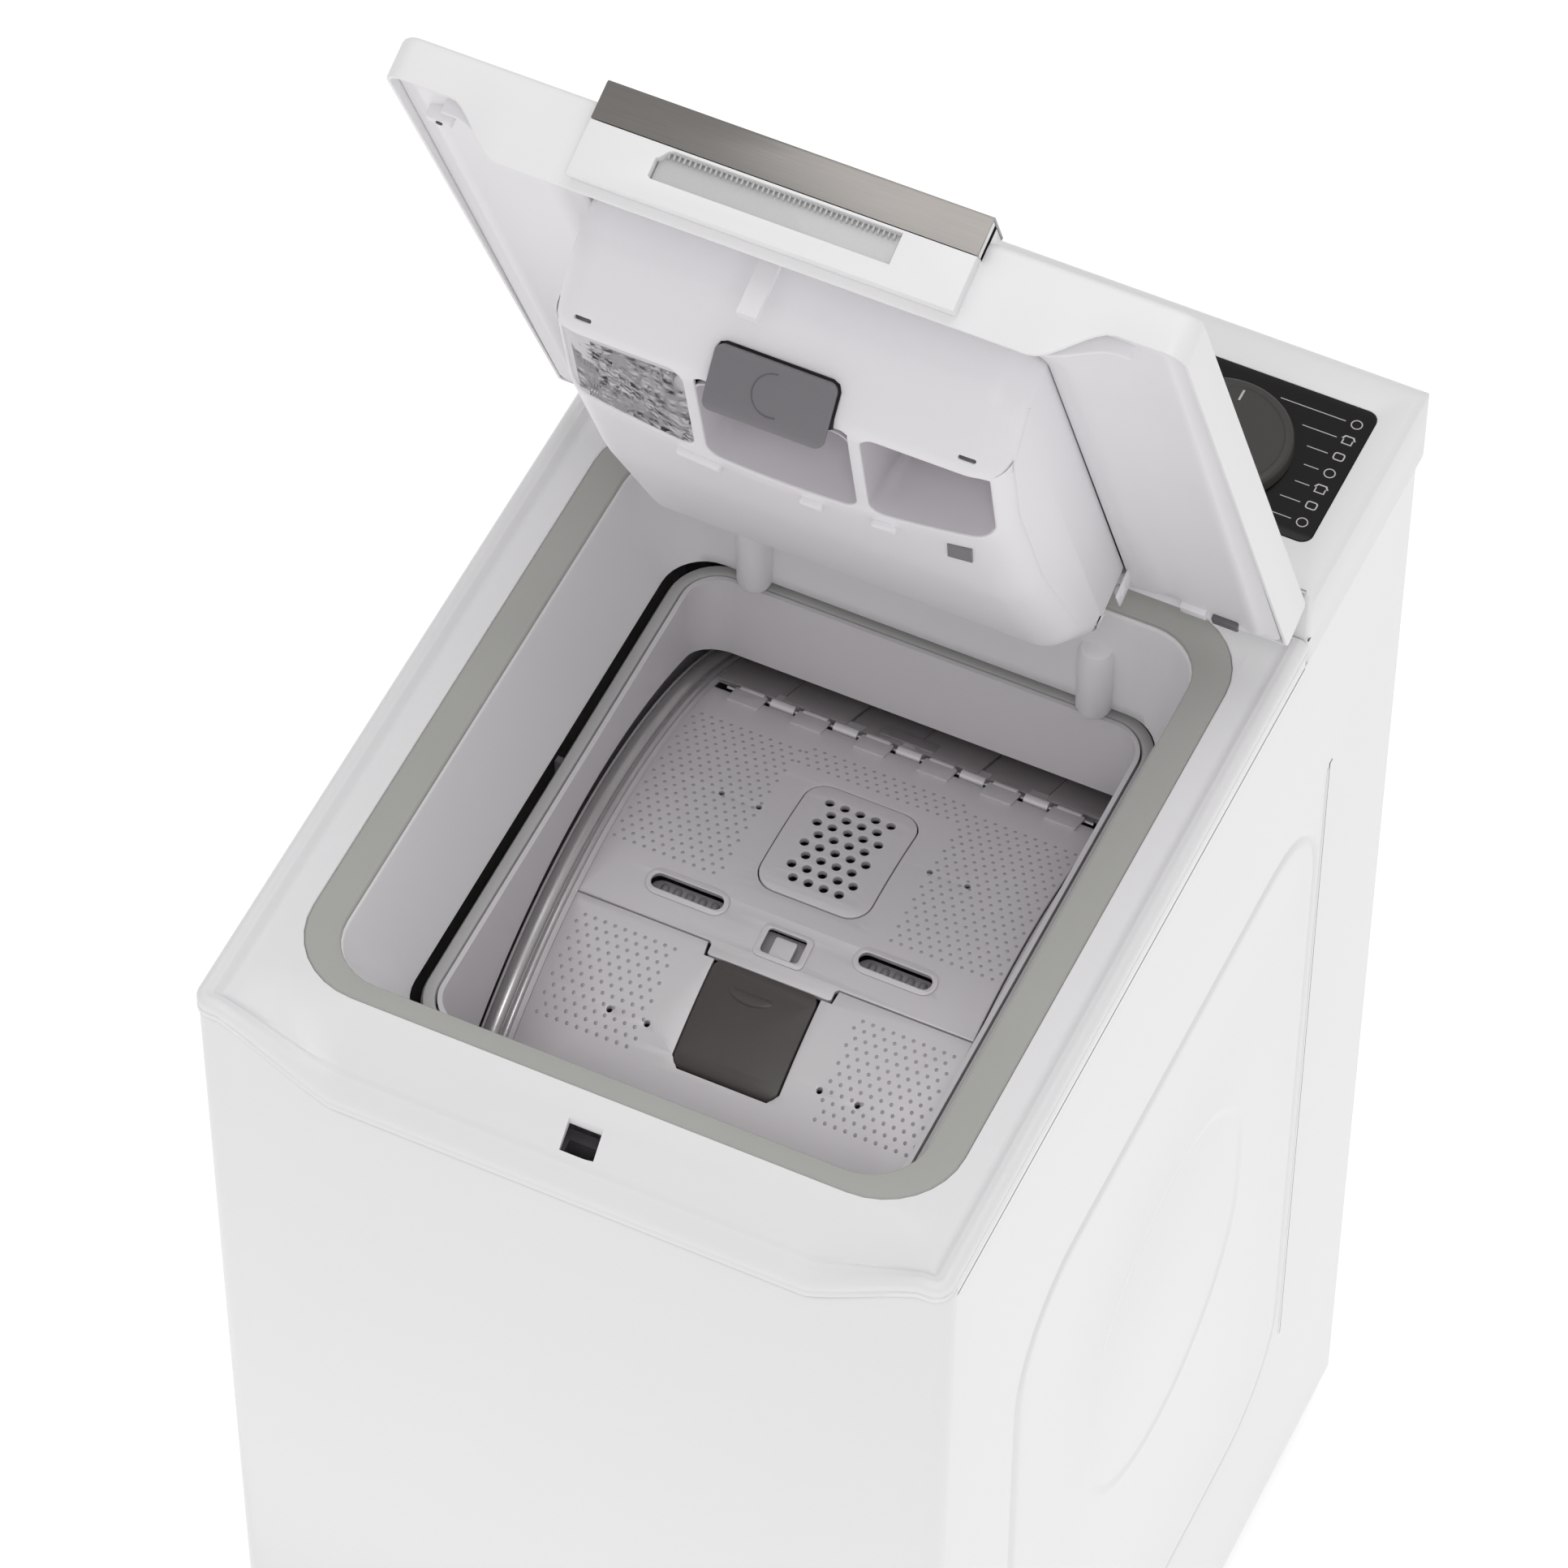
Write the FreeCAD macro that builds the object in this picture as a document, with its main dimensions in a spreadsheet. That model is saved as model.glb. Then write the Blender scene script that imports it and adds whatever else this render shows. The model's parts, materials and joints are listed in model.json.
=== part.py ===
import FreeCAD
import Part
import math
import os
import re
import Sketcher
from FreeCAD import Placement, Rotation, Vector

# Narrow top load washing machine with a horizontal drum, a detergent dispenser in its lid
# and a control console behind the lid. Millimetres. X to the right as seen from the front,
# Y to the back, Z up; the origin is on the floor below the middle of the machine.
# The rest position has the lid standing open.

# Each size that can be set by itself: alias, value, meaning.
SIZES = [
    # cabinet
    ("width", 400, "over the side panels"),
    ("depth", 586, "front panel to the back of the console"),
    ("rim_height", 866, "floor to the raised rim of the top plate"),
    ("sheet_gauge", 1, "steel sheet of the cabinet"),
    ("panel_gap", 0.4, "seam between cabinet parts"),
    ("front_set", 1, "front panel behind the top plate's edge"),
    ("rear_step", 13, "rear panel ahead of the console's back"),
    ("corner_wrap", 14, "front panel's return along the sides"),
    ("corner_radius", 9, "front panel's upright corners"),
    ("flange_width", 12, "inward flange of a side panel"),
    ("foot_reach", 25, "floor to the underside of the base frame"),
    ("base_rise", 35, "height of the base frame"),
    ("base_wall", 3, "wall of the base frame"),
    ("kick_top", 108, "floor to the top of the kick plate"),
    ("kick_set", 8, "kick plate behind the front panel"),
    ("kick_wall", 2, "wall of the kick plate"),
    ("flap_width", 100, "pump flap in the kick plate"),
    ("flap_height", 56, "pump flap in the kick plate"),
    ("flap_centre", 105, "pump flap to the right of the middle"),
    ("flap_bottom", 38, "floor to the lower edge of the pump flap"),
    ("filter_radius", 22, "screw-in pump filter"),
    ("filter_length", 52, "screw-in pump filter"),
    ("pump_wall", 4, "wall of the pump's casing"),
    ("running_gap", 0.3, "clearance round what turns or slides"),
    ("foot_radius", 18, "levelling foot's pad"),
    ("foot_pad", 6, "levelling foot's pad thickness"),
    ("stem_radius", 5, "levelling foot's screw"),
    ("stem_height", 44, "top of the foot's screw above the floor"),
    ("foot_inset_x", 34, "foot's axis from the side"),
    ("foot_inset_y", 40, "foot's axis from the front or rear panel"),
    # top plate and funnel
    ("skirt_height", 12, "top plate's skirt over the cabinet"),
    ("rim_rise", 6, "raised rim above the seal's deck"),
    ("rim_width", 9, "raised rim's width"),
    ("deck_wall", 3, "wall of the top plate"),
    ("dip_drop", 36, "front edge's drop in the middle"),
    ("dip_half_low", 129, "half width of the dip at its lowest"),
    ("dip_half_high", 168, "half width of the dip at the rim"),
    ("dip_run", 37, "length of the slope into the dip"),
    ("seal_side", 26, "seal's outer edge from the side"),
    ("seal_rear", 1.5, "seal's outer edge ahead of the console"),
    ("seal_band", 19, "width of the lid seal at the sides"),
    ("seal_band_front", 12, "width of the lid seal at the front"),
    ("seal_band_rear", 17, "width of the lid seal at the rear"),
    ("seal_radius", 42, "outer corner of the lid seal"),
    ("seal_thickness", 3, "lid seal"),
    ("funnel_wall", 2.5, "wall of the loading funnel"),
    ("funnel_drop", 86, "rim down to the funnel's lower lip"),
    ("funnel_lean_side", 12, "funnel's lower lip outside the tub neck"),
    ("funnel_lean_front", 16, "funnel's lower lip ahead of the tub neck"),
    ("funnel_lean_rear", 2, "funnel's lower lip behind the tub neck"),
    ("funnel_radius_low", 24, "corner of the funnel's lower lip"),
    ("spout_radius", 9, "water spouts on the funnel's rear wall"),
    ("spout_height", 48, "water spout"),
    ("spout_spread", 95, "water spout from the middle"),
    ("latch_slot_width", 18, "lid latch slot"),
    ("latch_slot_depth", 12, "lid latch slot"),
    ("latch_slot_set", 19, "lid latch slot's middle from the front edge"),
    # console
    ("console_depth", 154.5, "front to back of the console"),
    ("console_top", 898, "floor to the console's top"),
    ("console_skirt", 19, "console's lower edge below the rim"),
    ("console_wall", 2.5, "wall of the console"),
    ("console_round", 12, "console's rear top edge"),
    ("glass_side", 16, "glass panel's edge from the side"),
    ("glass_front", 32, "glass panel from the console's front"),
    ("glass_depth", 93, "glass panel front to back"),
    ("glass_thickness", 3, "glass panel"),
    ("glass_radius", 6, "glass panel's corners"),
    ("knob_radius", 38, "program knob"),
    ("knob_height", 9, "program knob"),
    ("knob_offset", 118, "program knob right of the middle"),
    ("knob_set", 40.5, "program knob's axis behind the glass panel's front edge"),
    ("knob_shaft", 4, "radius of the knob's shaft"),
    # lid
    ("hinge_height", 902, "floor to the lid's hinge axis"),
    ("lid_open_angle", 68, "degrees the lid stands open at rest"),
    ("lid_overhang", 2, "lid's front ahead of the top plate"),
    ("lid_front_top", 889, "lid's front top edge when closed"),
    ("lid_rear_gap", 6, "lid's rear edge ahead of its hinge axis"),
    ("lid_wall", 2.5, "wall of the lid shell"),
    ("lid_seam", 1, "closed lid above the rim"),
    ("lid_dip", 22, "drop of the lid's front skirt in the middle"),
    ("lid_dip_half", 136, "half width of the lid's front skirt dip"),
    ("lid_dip_slope", 20, "run of the skirt's slope into its dip"),
    ("liner_wall", 2, "wall of the lid liner"),
    ("liner_depth", 5, "liner's face above the skirt's edge"),
    ("handle_half", 96, "half width of the lid handle"),
    ("handle_proud", 11, "lid handle ahead of the lid's front"),
    ("handle_rise", 8, "handle's top above the lid's front edge"),
    ("handle_back", 16, "handle's reach over the lid's top"),
    ("handle_drop", 48, "height of the handle block"),
    ("strip_thickness", 1.5, "metal strip on the handle"),
    ("strip_drop", 20, "metal strip's height on the front"),
    ("grip_half", 60, "half width of the grip recess"),
    ("grip_height", 17, "height of the grip recess"),
    ("grip_depth", 7, "depth of the grip recess"),
    ("pin_radius", 2, "lid hinge pins"),
    ("pin_length", 20, "lid hinge pins"),
    ("pin_inset", 4, "lid hinge pin's outer end from the side"),
    ("pin_gap", 0.05, "running fit of hinge pins and shafts"),
    ("ear_width", 3, "console's ear that holds a hinge pin"),
    # dispenser
    ("tray_half", 116, "half width of the dispenser tray"),
    ("tray_front", 87, "tray's front from the lid's front"),
    ("tray_length", 322, "tray from its front to its rear"),
    ("tray_brow", 21, "start of the tray's brow below the lid's edge"),
    ("brow_run", 22, "tray's sloping brow, front to back"),
    ("brow_drop", 34, "tray's sloping brow, height"),
    ("brow_wall", 6, "wall behind the tray's brow"),
    ("tray_belly", 67, "tray's lowest line below the lid's edge"),
    ("mouth_end", 85, "far edge of the pockets' mouths from the tray's front"),
    ("belly_run", 168, "middle of the tray's belly from its front"),
    ("tail_run", 50, "tray's rising tail"),
    ("cheek_rise", 1.2, "cheeks beside the tray's tail"),
    ("tray_wall", 2.5, "wall of the tray"),
    ("tray_web", 12, "web between two pockets"),
    ("tray_middle_half", 40, "half width of the middle pocket"),
    ("tray_gap", 1.5, "tray to the lid liner"),
    ("tray_pin_radius", 3, "tray's pivot pins"),
    ("button_half", 31, "half width of the tray's release button"),
    ("button_thickness", 5, "tray's release button"),
    ("button_start", 19, "release button's upper edge down the brow"),
    ("button_end", 53, "release button's lower edge down the brow"),
    ("button_slack", 0.6, "clearance round the release button"),
    ("bay_depth", 3.4, "recess that the release button sinks into"),
    # drum and tub
    ("front_stack", 58, "front edge to the drum: panel, air, tub wall, gap"),
    ("side_stack", 72, "side to the drum: panel, pulley bay, tub wall, gap"),
    ("drum_wall", 1, "drum sheet"),
    ("tub_gap", 17, "drum to the tub's round wall"),
    ("tub_side_gap", 12, "drum to the tub's end wall"),
    ("tub_wall", 3, "wall of the tub"),
    ("neck_rise", 27, "tub's crown to the top of its neck"),
    ("neck_drop", 8, "funnel's lower lip to the top of the neck"),
    ("neck_inset", 3, "neck's inside within the drum's end"),
    ("hinge_line", 104, "rear flap's hinge behind the drum's axis"),
    ("parting_line", 59, "flaps' meeting line ahead of the drum's axis"),
    ("front_line", 176, "front flap's hinge ahead of the drum's axis"),
    ("neck_behind", 13, "neck's rear wall behind the rear flap's hinge"),
    ("neck_ahead", 16, "neck's front wall ahead of the front flap's hinge"),
    ("flap_margin", 18, "flaps' side edge within the drum's end"),
    ("flap_wall", 3, "thickness of a drum flap"),
    ("flap_gap", 0.6, "clearance round a drum flap"),
    ("flap_pin_radius", 1.5, "hinge pin of a drum flap"),
    ("finger_pitch", 36, "pitch of the hinge fingers"),
    ("finger_width", 14, "width of a hinge finger"),
    ("insert_half", 31, "half width of the perforated insert"),
    ("insert_length", 76, "perforated insert, front to back"),
    ("insert_centre", 17, "perforated insert behind the drum's axis"),
    ("slot_half", 21, "half length of a finger slot"),
    ("slot_width", 10, "width of a finger slot"),
    ("slot_offset", 58, "finger slot from the middle"),
    ("slot_line", 39, "finger slots ahead of the drum's axis"),
    ("latch_half", 29, "half width of the latch button"),
    ("latch_length", 54, "latch button, front to back"),
    ("lifter_height", 42, "drum lifter"),
    ("lifter_width", 34, "drum lifter"),
    ("shaft_radius", 12.5, "drum shafts"),
    ("bearing_radius", 26, "drum bearings, outside"),
    ("bearing_width", 15, "drum bearings"),
    ("seal_width", 8, "shaft seals"),
    ("hub_wall", 6, "bearing hub's wall"),
    # drive and the rest inside
    ("pulley_radius", 140, "drum pulley"),
    ("pulley_width", 14, "drum pulley and belt plane"),
    ("pulley_gap", 3, "pulley to the bearing hub"),
    ("motor_pulley_radius", 12, "motor pulley"),
    ("belt_thickness", 3, "drive belt"),
    ("motor_radius", 50, "drive motor"),
    ("motor_length", 120, "drive motor"),
    ("motor_drop", 55, "tub's underside to the motor"),
    ("motor_back", 70, "motor's axis behind the drum's axis"),
    ("spring_radius", 11, "suspension springs"),
    ("spring_inset", 30, "suspension spring's axis from the side"),
    ("spring_spread", 200, "suspension springs from the drum's axis, front and rear"),
    ("damper_spread", 160, "shock absorbers from the drum's axis, front and rear"),
    ("damper_radius", 12, "shock absorbers"),
    ("weight_thickness", 26, "counterweights"),
    ("heater_radius", 4, "heating element's tube"),
    ("heater_spread", 17, "heating element's legs from the middle"),
    ("inlet_radius", 13.2, "water inlet's threaded end"),
    ("inlet_length", 11, "water inlet's threaded end"),
    ("inlet_height", 815, "floor to the water inlet"),
    ("inlet_offset", 150, "water inlet left of the middle"),
    ("screw_head", 4.5, "panel screw's head, radius"),
    ("screw_rise", 2, "panel screw's head, height"),
    ("screw_inset", 30, "outer screws from the rear panel's ends"),
    ("service_half", 60, "half of the service opening in the rear panel"),
    ("service_lap", 16, "service cover's lap over its opening"),
    ("gland_radius", 8.7, "cord gland through the rear panel"),
    ("gland_bore", 4.5, "cord gland's bore"),
    ("gland_offset", 150, "cord gland right of the middle"),
    ("gland_height", 120, "floor to the cord gland"),
]

# Screws down each side of the rear panel.
SIDE_SCREWS = 4

doc = FreeCAD.newDocument("top_load_washer")
sheet = doc.addObject("Spreadsheet::Sheet", "Sizes")
for row, (alias, size, meaning) in enumerate(SIZES, start=1):
    sheet.set(f"A{row}", meaning)
    sheet.set(f"B{row}", str(size))
    sheet.setAlias(f"B{row}", alias)
doc.recompute()

ALIASES = re.compile(r"\b(" + "|".join(alias for alias, _, _ in SIZES) + r")\b")
nodes = []


def bound(text):
    """The expression with every alias read from the sheet."""
    return ALIASES.sub(r"Sizes.\1", str(text))


def value(text):
    return float(sheet.evalExpression(bound(text)))


def set_size(thing, name, text):
    thing.setExpression(name, bound(text))


def node(thing, label):
    """Names a finished sub-part; its shape is written to a file of that name."""
    thing.Label = label
    nodes.append(thing)
    return thing


# ---------------------------------------------------------------- building blocks


def box(x0, x1, y0, y1, z0, z1):
    thing = doc.addObject("Part::Box", "Box")
    for name, low, high in (("Length", x0, x1), ("Width", y0, y1), ("Height", z0, z1)):
        set_size(thing, name, f"({high}) - ({low})")
    for name, low in (("x", x0), ("y", y0), ("z", z0)):
        set_size(thing, f"Placement.Base.{name}", low)
    return thing


def rod(axis, x, y, z, radius, length):
    """A cylinder that starts at x, y, z and runs along the axis X, Y or Z."""
    thing = doc.addObject("Part::Cylinder", "Rod")
    turns = {"X": (0, 1, 0, 90), "Y": (1, 0, 0, -90), "Z": (0, 0, 1, 0)}
    ax, ay, az, angle = turns[axis]
    thing.Placement = Placement(Vector(0, 0, 0), Rotation(Vector(ax, ay, az), angle))
    set_size(thing, "Radius", radius)
    set_size(thing, "Height", length)
    for name, start in (("x", x), ("y", y), ("z", z)):
        set_size(thing, f"Placement.Base.{name}", start)
    return thing


def cut(base, *tools):
    thing = doc.addObject("Part::Cut", "Cut")
    thing.Base = base
    thing.Tool = tools[0] if len(tools) == 1 else fuse(*tools)
    return thing


def fuse(*parts):
    thing = doc.addObject("Part::MultiFuse", "Fuse")
    thing.Shapes = list(parts)
    return thing


def common(*parts):
    thing = doc.addObject("Part::MultiCommon", "Common")
    thing.Shapes = list(parts)
    return thing


def group(*parts):
    """Separate solids that share one node."""
    thing = doc.addObject("Part::Compound", "Group")
    thing.Links = list(parts)
    return thing


def mirrored(part):
    """The same piece on the other side of the machine."""
    thing = doc.addObject("Part::Mirroring", "Mirrored")
    thing.Source = part
    thing.Normal = Vector(1, 0, 0)
    return thing


def origin_plane(body, role):
    return next(item for item in body.Origin.OriginFeatures if item.Role == role)


def new_sketch(body, plane, offset):
    sketch = body.newObject("Sketcher::SketchObject", "Outline")
    sketch.AttachmentSupport = [(origin_plane(body, plane + "_Plane"), "")]
    sketch.MapMode = "FlatFace"
    set_size(sketch, "AttachmentOffset.Base.z", offset)
    return sketch


def draw_outline(sketch, points):
    """A closed outline of straight lines whose corners are bound to the sheet."""
    spots = [(value(a), value(b)) for a, b in points]
    count = len(points)
    for here, there in zip(spots, spots[1:] + spots[:1]):
        sketch.addGeometry(Part.LineSegment(Vector(*here, 0), Vector(*there, 0)))
    for index in range(count):
        sketch.addConstraint(Sketcher.Constraint("Coincident", index, 2, (index + 1) % count, 1))
    for index, (point, spot) in enumerate(zip(points, spots)):
        for kind, text, number in zip(("DistanceX", "DistanceY"), point, spot):
            made = sketch.addConstraint(Sketcher.Constraint(kind, -1, 1, index, 1, number))
            set_size(sketch, f"Constraints[{made}]", text)


def draw_rounded(sketch, x0, x1, y0, y1, radius):
    """A rectangle with four round corners, bound to the sheet."""
    left, right, low, high, r = (value(text) for text in (x0, x1, y0, y1, radius))
    sides = [
        ((left + r, low), (right - r, low)),
        ((right, low + r), (right, high - r)),
        ((right - r, high), (left + r, high)),
        ((left, high - r), (left, low + r)),
    ]
    centres = [(right - r, low + r), (right - r, high - r), (left + r, high - r), (left + r, low + r)]
    for here, there in sides:
        sketch.addGeometry(Part.LineSegment(Vector(*here, 0), Vector(*there, 0)))
    for turn, centre in enumerate(centres):
        circle = Part.Circle(Vector(*centre, 0), Vector(0, 0, 1), r)
        start = math.pi / 2 * (turn - 1)
        sketch.addGeometry(Part.ArcOfCircle(circle, start, start + math.pi / 2))
    for side in range(4):
        sketch.addConstraint(Sketcher.Constraint("Tangent", side, 2, 4 + side, 1))
        sketch.addConstraint(Sketcher.Constraint("Tangent", 4 + side, 2, (side + 1) % 4, 1))
        sketch.addConstraint(Sketcher.Constraint(("Horizontal", "Vertical")[side % 2], side))
    for corner in range(5, 8):
        sketch.addConstraint(Sketcher.Constraint("Equal", 4, corner))
    made = sketch.addConstraint(Sketcher.Constraint("Radius", 4, r))
    set_size(sketch, f"Constraints[{made}]", radius)
    for kind, side, text, number in (
        ("DistanceY", 0, y0, low),
        ("DistanceX", 1, x1, right),
        ("DistanceY", 2, y1, high),
        ("DistanceX", 3, x0, left),
    ):
        made = sketch.addConstraint(Sketcher.Constraint(kind, -1, 1, side, 1, number))
        set_size(sketch, f"Constraints[{made}]", text)


def prism(plane, points, low, high, radius=None, corners=()):
    """An outline in the plane XY, XZ or YZ, padded from low to high across it.

    The named corners of the outline get the radius."""
    body = doc.addObject("PartDesign::Body", "Prism")
    across = f"-({high})" if plane == "XZ" else low
    sketch = new_sketch(body, plane, across)
    draw_outline(sketch, points)
    pad = body.newObject("PartDesign::Pad", "Pad")
    pad.Profile = sketch
    set_size(pad, "Length", f"({high}) - ({low})")
    doc.recompute()
    if corners:
        spots = [(value(points[index][0]), value(points[index][1])) for index in corners]
        round_edges(body, pad, plane, spots, radius)
    return body


def round_edges(body, pad, plane, spots, radius):
    """Rounds the edges that run across the plane at the given spots of the outline."""
    along = {"XY": 2, "XZ": 1, "YZ": 0}[plane]
    flat = [index for index in range(3) if index != along]
    names = []
    for number, edge in enumerate(pad.Shape.Edges, start=1):
        ends = [vertex.Point for vertex in edge.Vertexes]
        if len(ends) != 2 or abs(abs(ends[0][along] - ends[1][along]) - edge.Length) > 0.01:
            continue
        for spot in spots:
            if all(abs(ends[0][index] - spot[k]) < 0.01 for k, index in enumerate(flat)):
                names.append(f"Edge{number}")
    fillet = body.newObject("PartDesign::Fillet", "Fillet")
    fillet.Base = (pad, names)
    set_size(fillet, "Radius", radius)


def rounded_slab(x0, x1, y0, y1, radius, low, high):
    """A plate with four round corners, upright from low to high."""
    body = doc.addObject("PartDesign::Body", "Slab")
    sketch = new_sketch(body, "XY", low)
    draw_rounded(sketch, x0, x1, y0, y1, radius)
    pad = body.newObject("PartDesign::Pad", "Pad")
    pad.Profile = sketch
    set_size(pad, "Length", f"({high}) - ({low})")
    return body


def taper(lower, upper):
    """A loft between two rounded rectangles; each is x0, x1, y0, y1, radius, height."""
    body = doc.addObject("PartDesign::Body", "Taper")
    sketches = []
    for x0, x1, y0, y1, radius, height in (lower, upper):
        sketch = new_sketch(body, "XY", height)
        draw_rounded(sketch, x0, x1, y0, y1, radius)
        sketches.append(sketch)
    loft = body.newObject("PartDesign::AdditiveLoft", "Loft")
    loft.Profile = sketches[0]
    loft.Sections = [sketches[1]]
    loft.Ruled = True
    return body


def turned(axis, points, x="0", y="0", z="0"):
    """A profile of (along, radius) points revolved about an axis through x, y, z."""
    body = doc.addObject("PartDesign::Body", "Turned")
    sketch = new_sketch(body, "XY", "0")
    draw_outline(sketch, [(along, radius) for along, radius in points])
    revolution = body.newObject("PartDesign::Revolution", "Revolution")
    revolution.Profile = sketch
    revolution.ReferenceAxis = (sketch, ["H_Axis"])
    revolution.Angle = 360
    turns = {"X": (0, 0, 1, 0), "Y": (0, 0, 1, 90), "Z": (0, 1, 0, -90)}
    ax, ay, az, angle = turns[axis]
    body.Placement = Placement(Vector(0, 0, 0), Rotation(Vector(ax, ay, az), angle))
    for name, text in (("x", x), ("y", y), ("z", z)):
        set_size(body, f"Placement.Base.{name}", text)
    return body


# ---------------------------------------------------------------- shared places

HALF = "width/2"
INSIDE = "(width/2 - sheet_gauge)"
FRONT = "(-depth/2)"
PANEL_FRONT = "(-depth/2 + front_set)"
PANEL_REAR = "(depth/2 - rear_step)"
BASE_TOP = "(foot_reach + base_rise)"
DECK = "(rim_height - rim_rise)"
LEDGE = "(rim_height - rim_rise - seal_thickness)"
PANEL_TOP = "(rim_height - skirt_height - panel_gap)"
CONSOLE_FRONT = "(depth/2 - console_depth)"
CONSOLE_LOW = "(rim_height - console_skirt)"
LIP = "(rim_height - funnel_drop)"

DRUM_R = "(depth/2 - front_stack)"
DRUM_HALF = "(width/2 - side_stack)"
TUB_IN = "(depth/2 - front_stack + tub_gap)"
TUB_OUT = "(depth/2 - front_stack + tub_gap + tub_wall)"
TUB_HALF_IN = "(width/2 - side_stack + tub_side_gap)"
TUB_HALF = "(width/2 - side_stack + tub_side_gap + tub_wall)"
NECK_TOP = "(rim_height - funnel_drop - neck_drop)"
DRUM_Z = f"({NECK_TOP} - neck_rise - {TUB_OUT})"
NECK_HALF = f"({DRUM_HALF} - neck_inset)"
NECK_REAR = "(hinge_line + neck_behind)"
NECK_FRONT = "(-front_line - neck_ahead)"
FLAP_HALF = f"({DRUM_HALF} - flap_margin)"

HINGE_Y = f"({CONSOLE_FRONT} - 0.5)"
LID_FRONT = "(-depth/2 - lid_overhang)"
LID_REAR = f"({HINGE_Y} - lid_rear_gap)"
LID_LOW = "(rim_height + lid_seam)"


LATCH_Y = f"({FRONT} + latch_slot_set)"
HOOK_LOW = "(rim_height - dip_drop - 7)"
KNOB_Y = f"({CONSOLE_FRONT} + glass_front + knob_set)"
GLASS = ("-width/2 + glass_side", "width/2 - glass_side", f"{CONSOLE_FRONT} + glass_front",
         f"{CONSOLE_FRONT} + glass_front + glass_depth", "glass_radius")
PIN_START = f"({HALF} - pin_inset - pin_length)"
PIN_OUT_EAR = f"({HALF} - pin_inset - ear_width)"
PIN_IN_EAR = PIN_START
TRAY_FRONT = f"({LID_FRONT} + tray_front)"
TRAY_REAR = f"({LID_FRONT} + tray_front + tray_length)"
TRAY_EDGE = f"({LID_LOW} - tray_brow)"
TRAY_PIN_Y = f"({TRAY_REAR} - 8)"
TRAY_PIN_Z = f"({LID_LOW} + liner_depth - 9)"
HUB_END = f"({TUB_HALF_IN} + seal_width + bearing_width + 3)"
PULLEY_END = f"({HUB_END} + pulley_gap + pulley_width)"
MOTOR_Z = f"({DRUM_Z} - {TUB_OUT} - motor_drop)"
HEATER_Z = f"({DRUM_Z} - sqrt(({DRUM_R} + tub_gap/2)^2 - heater_spread^2))"
PIN_R = f"({DRUM_R} + 0.5)"
LIFTER_BASE = f"({DRUM_R} - drum_wall - 1)"
SPRING_X = f"({HALF} - spring_inset)"
SPRING_LOW = f"({DRUM_Z} + 150)"
SPRING_TOP = "(rim_height - 66)"
BASE_FLOOR = "(foot_reach + base_wall)"
FILTER_Z = "(flap_bottom + flap_height/2)"


def on_drum(offset, radius):
    """Height of the round surface at that distance ahead of or behind the drum's axis."""
    return f"({DRUM_Z} + sqrt(({radius})^2 - ({offset})^2))"


def opened(thing):
    """Turns a piece drawn on the closed lid to the rest position, the lid standing open."""
    pivot = Vector(0, value(HINGE_Y), value("hinge_height"))
    turn = Rotation(Vector(1, 0, 0), -value("lid_open_angle"))
    thing.Placement = Placement(Vector(0, 0, 0), turn, pivot)
    return thing


# ---------------------------------------------------------------- cabinet


def dip(lowered):
    """The wedge of air above the top plate's front slope, lowered by that much."""
    thing = doc.addObject("Part::Wedge", "Dip")
    thing.Placement = Placement(Vector(0, 0, 0), Rotation(Vector(1, 0, 0), 90))
    slope = "(dip_run/dip_drop)"
    rise = "(rim_rise + 1)"
    grow = f"({rise}*(dip_half_high - dip_half_low)/dip_drop)"
    set_size(thing, "Ymin", "0")
    set_size(thing, "Ymax", f"dip_drop + {rise}")
    set_size(thing, "Xmin", "-dip_half_low")
    set_size(thing, "Xmax", "dip_half_low")
    set_size(thing, "X2min", f"-dip_half_high - {grow}")
    set_size(thing, "X2max", f"dip_half_high + {grow}")
    set_size(thing, "Zmin", "0")
    set_size(thing, "Zmax", "20")
    set_size(thing, "Z2min", f"-dip_run - {rise}*{slope}")
    set_size(thing, "Z2max", "20")
    set_size(thing, "Placement.Base.y", FRONT)
    set_size(thing, "Placement.Base.z", f"rim_height - dip_drop - ({lowered})")
    return thing


def make_base_frame():
    foot_x, foot_front, foot_rear = foot_places()
    tray = cut(
        box(f"-{INSIDE} + panel_gap", f"{INSIDE} - panel_gap", f"{PANEL_FRONT} + kick_set + kick_wall + 1",
            f"{PANEL_REAR} - 1", "foot_reach", BASE_TOP),
        box(f"-{INSIDE} + panel_gap + base_wall", f"{INSIDE} - panel_gap - base_wall",
            f"{PANEL_FRONT} + kick_set + kick_wall + 1 + base_wall", f"{PANEL_REAR} - 1 - base_wall",
            "foot_reach + base_wall", f"{BASE_TOP} + 1"),
    )
    holes = []
    for x in (foot_x, f"-({foot_x})"):
        for y in (foot_front, foot_rear):
            holes.append(rod("Z", x, y, "foot_reach - 1", "stem_radius + running_gap", "base_wall + 2"))
    throat = rod("Y", "flap_centre", f"{PANEL_FRONT} + kick_set", FILTER_Z,
                 "filter_radius + pump_wall + running_gap", "base_wall + kick_wall + 6")
    flange_back = f"{FRONT} + corner_wrap + sheet_gauge + 2*panel_gap"
    flanges = [
        box(f"{HALF} - flange_width - panel_gap", "width", FRONT, flange_back, "0", "kick_top"),
        box("-width", f"-{HALF} + flange_width + panel_gap", FRONT, flange_back, "0", "kick_top"),
    ]
    node(cut(tray, *holes, throat, *flanges), "base_frame")


def foot_places():
    return f"{HALF} - foot_inset_x", f"{PANEL_FRONT} + foot_inset_y", f"{PANEL_REAR} - foot_inset_y"


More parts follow.
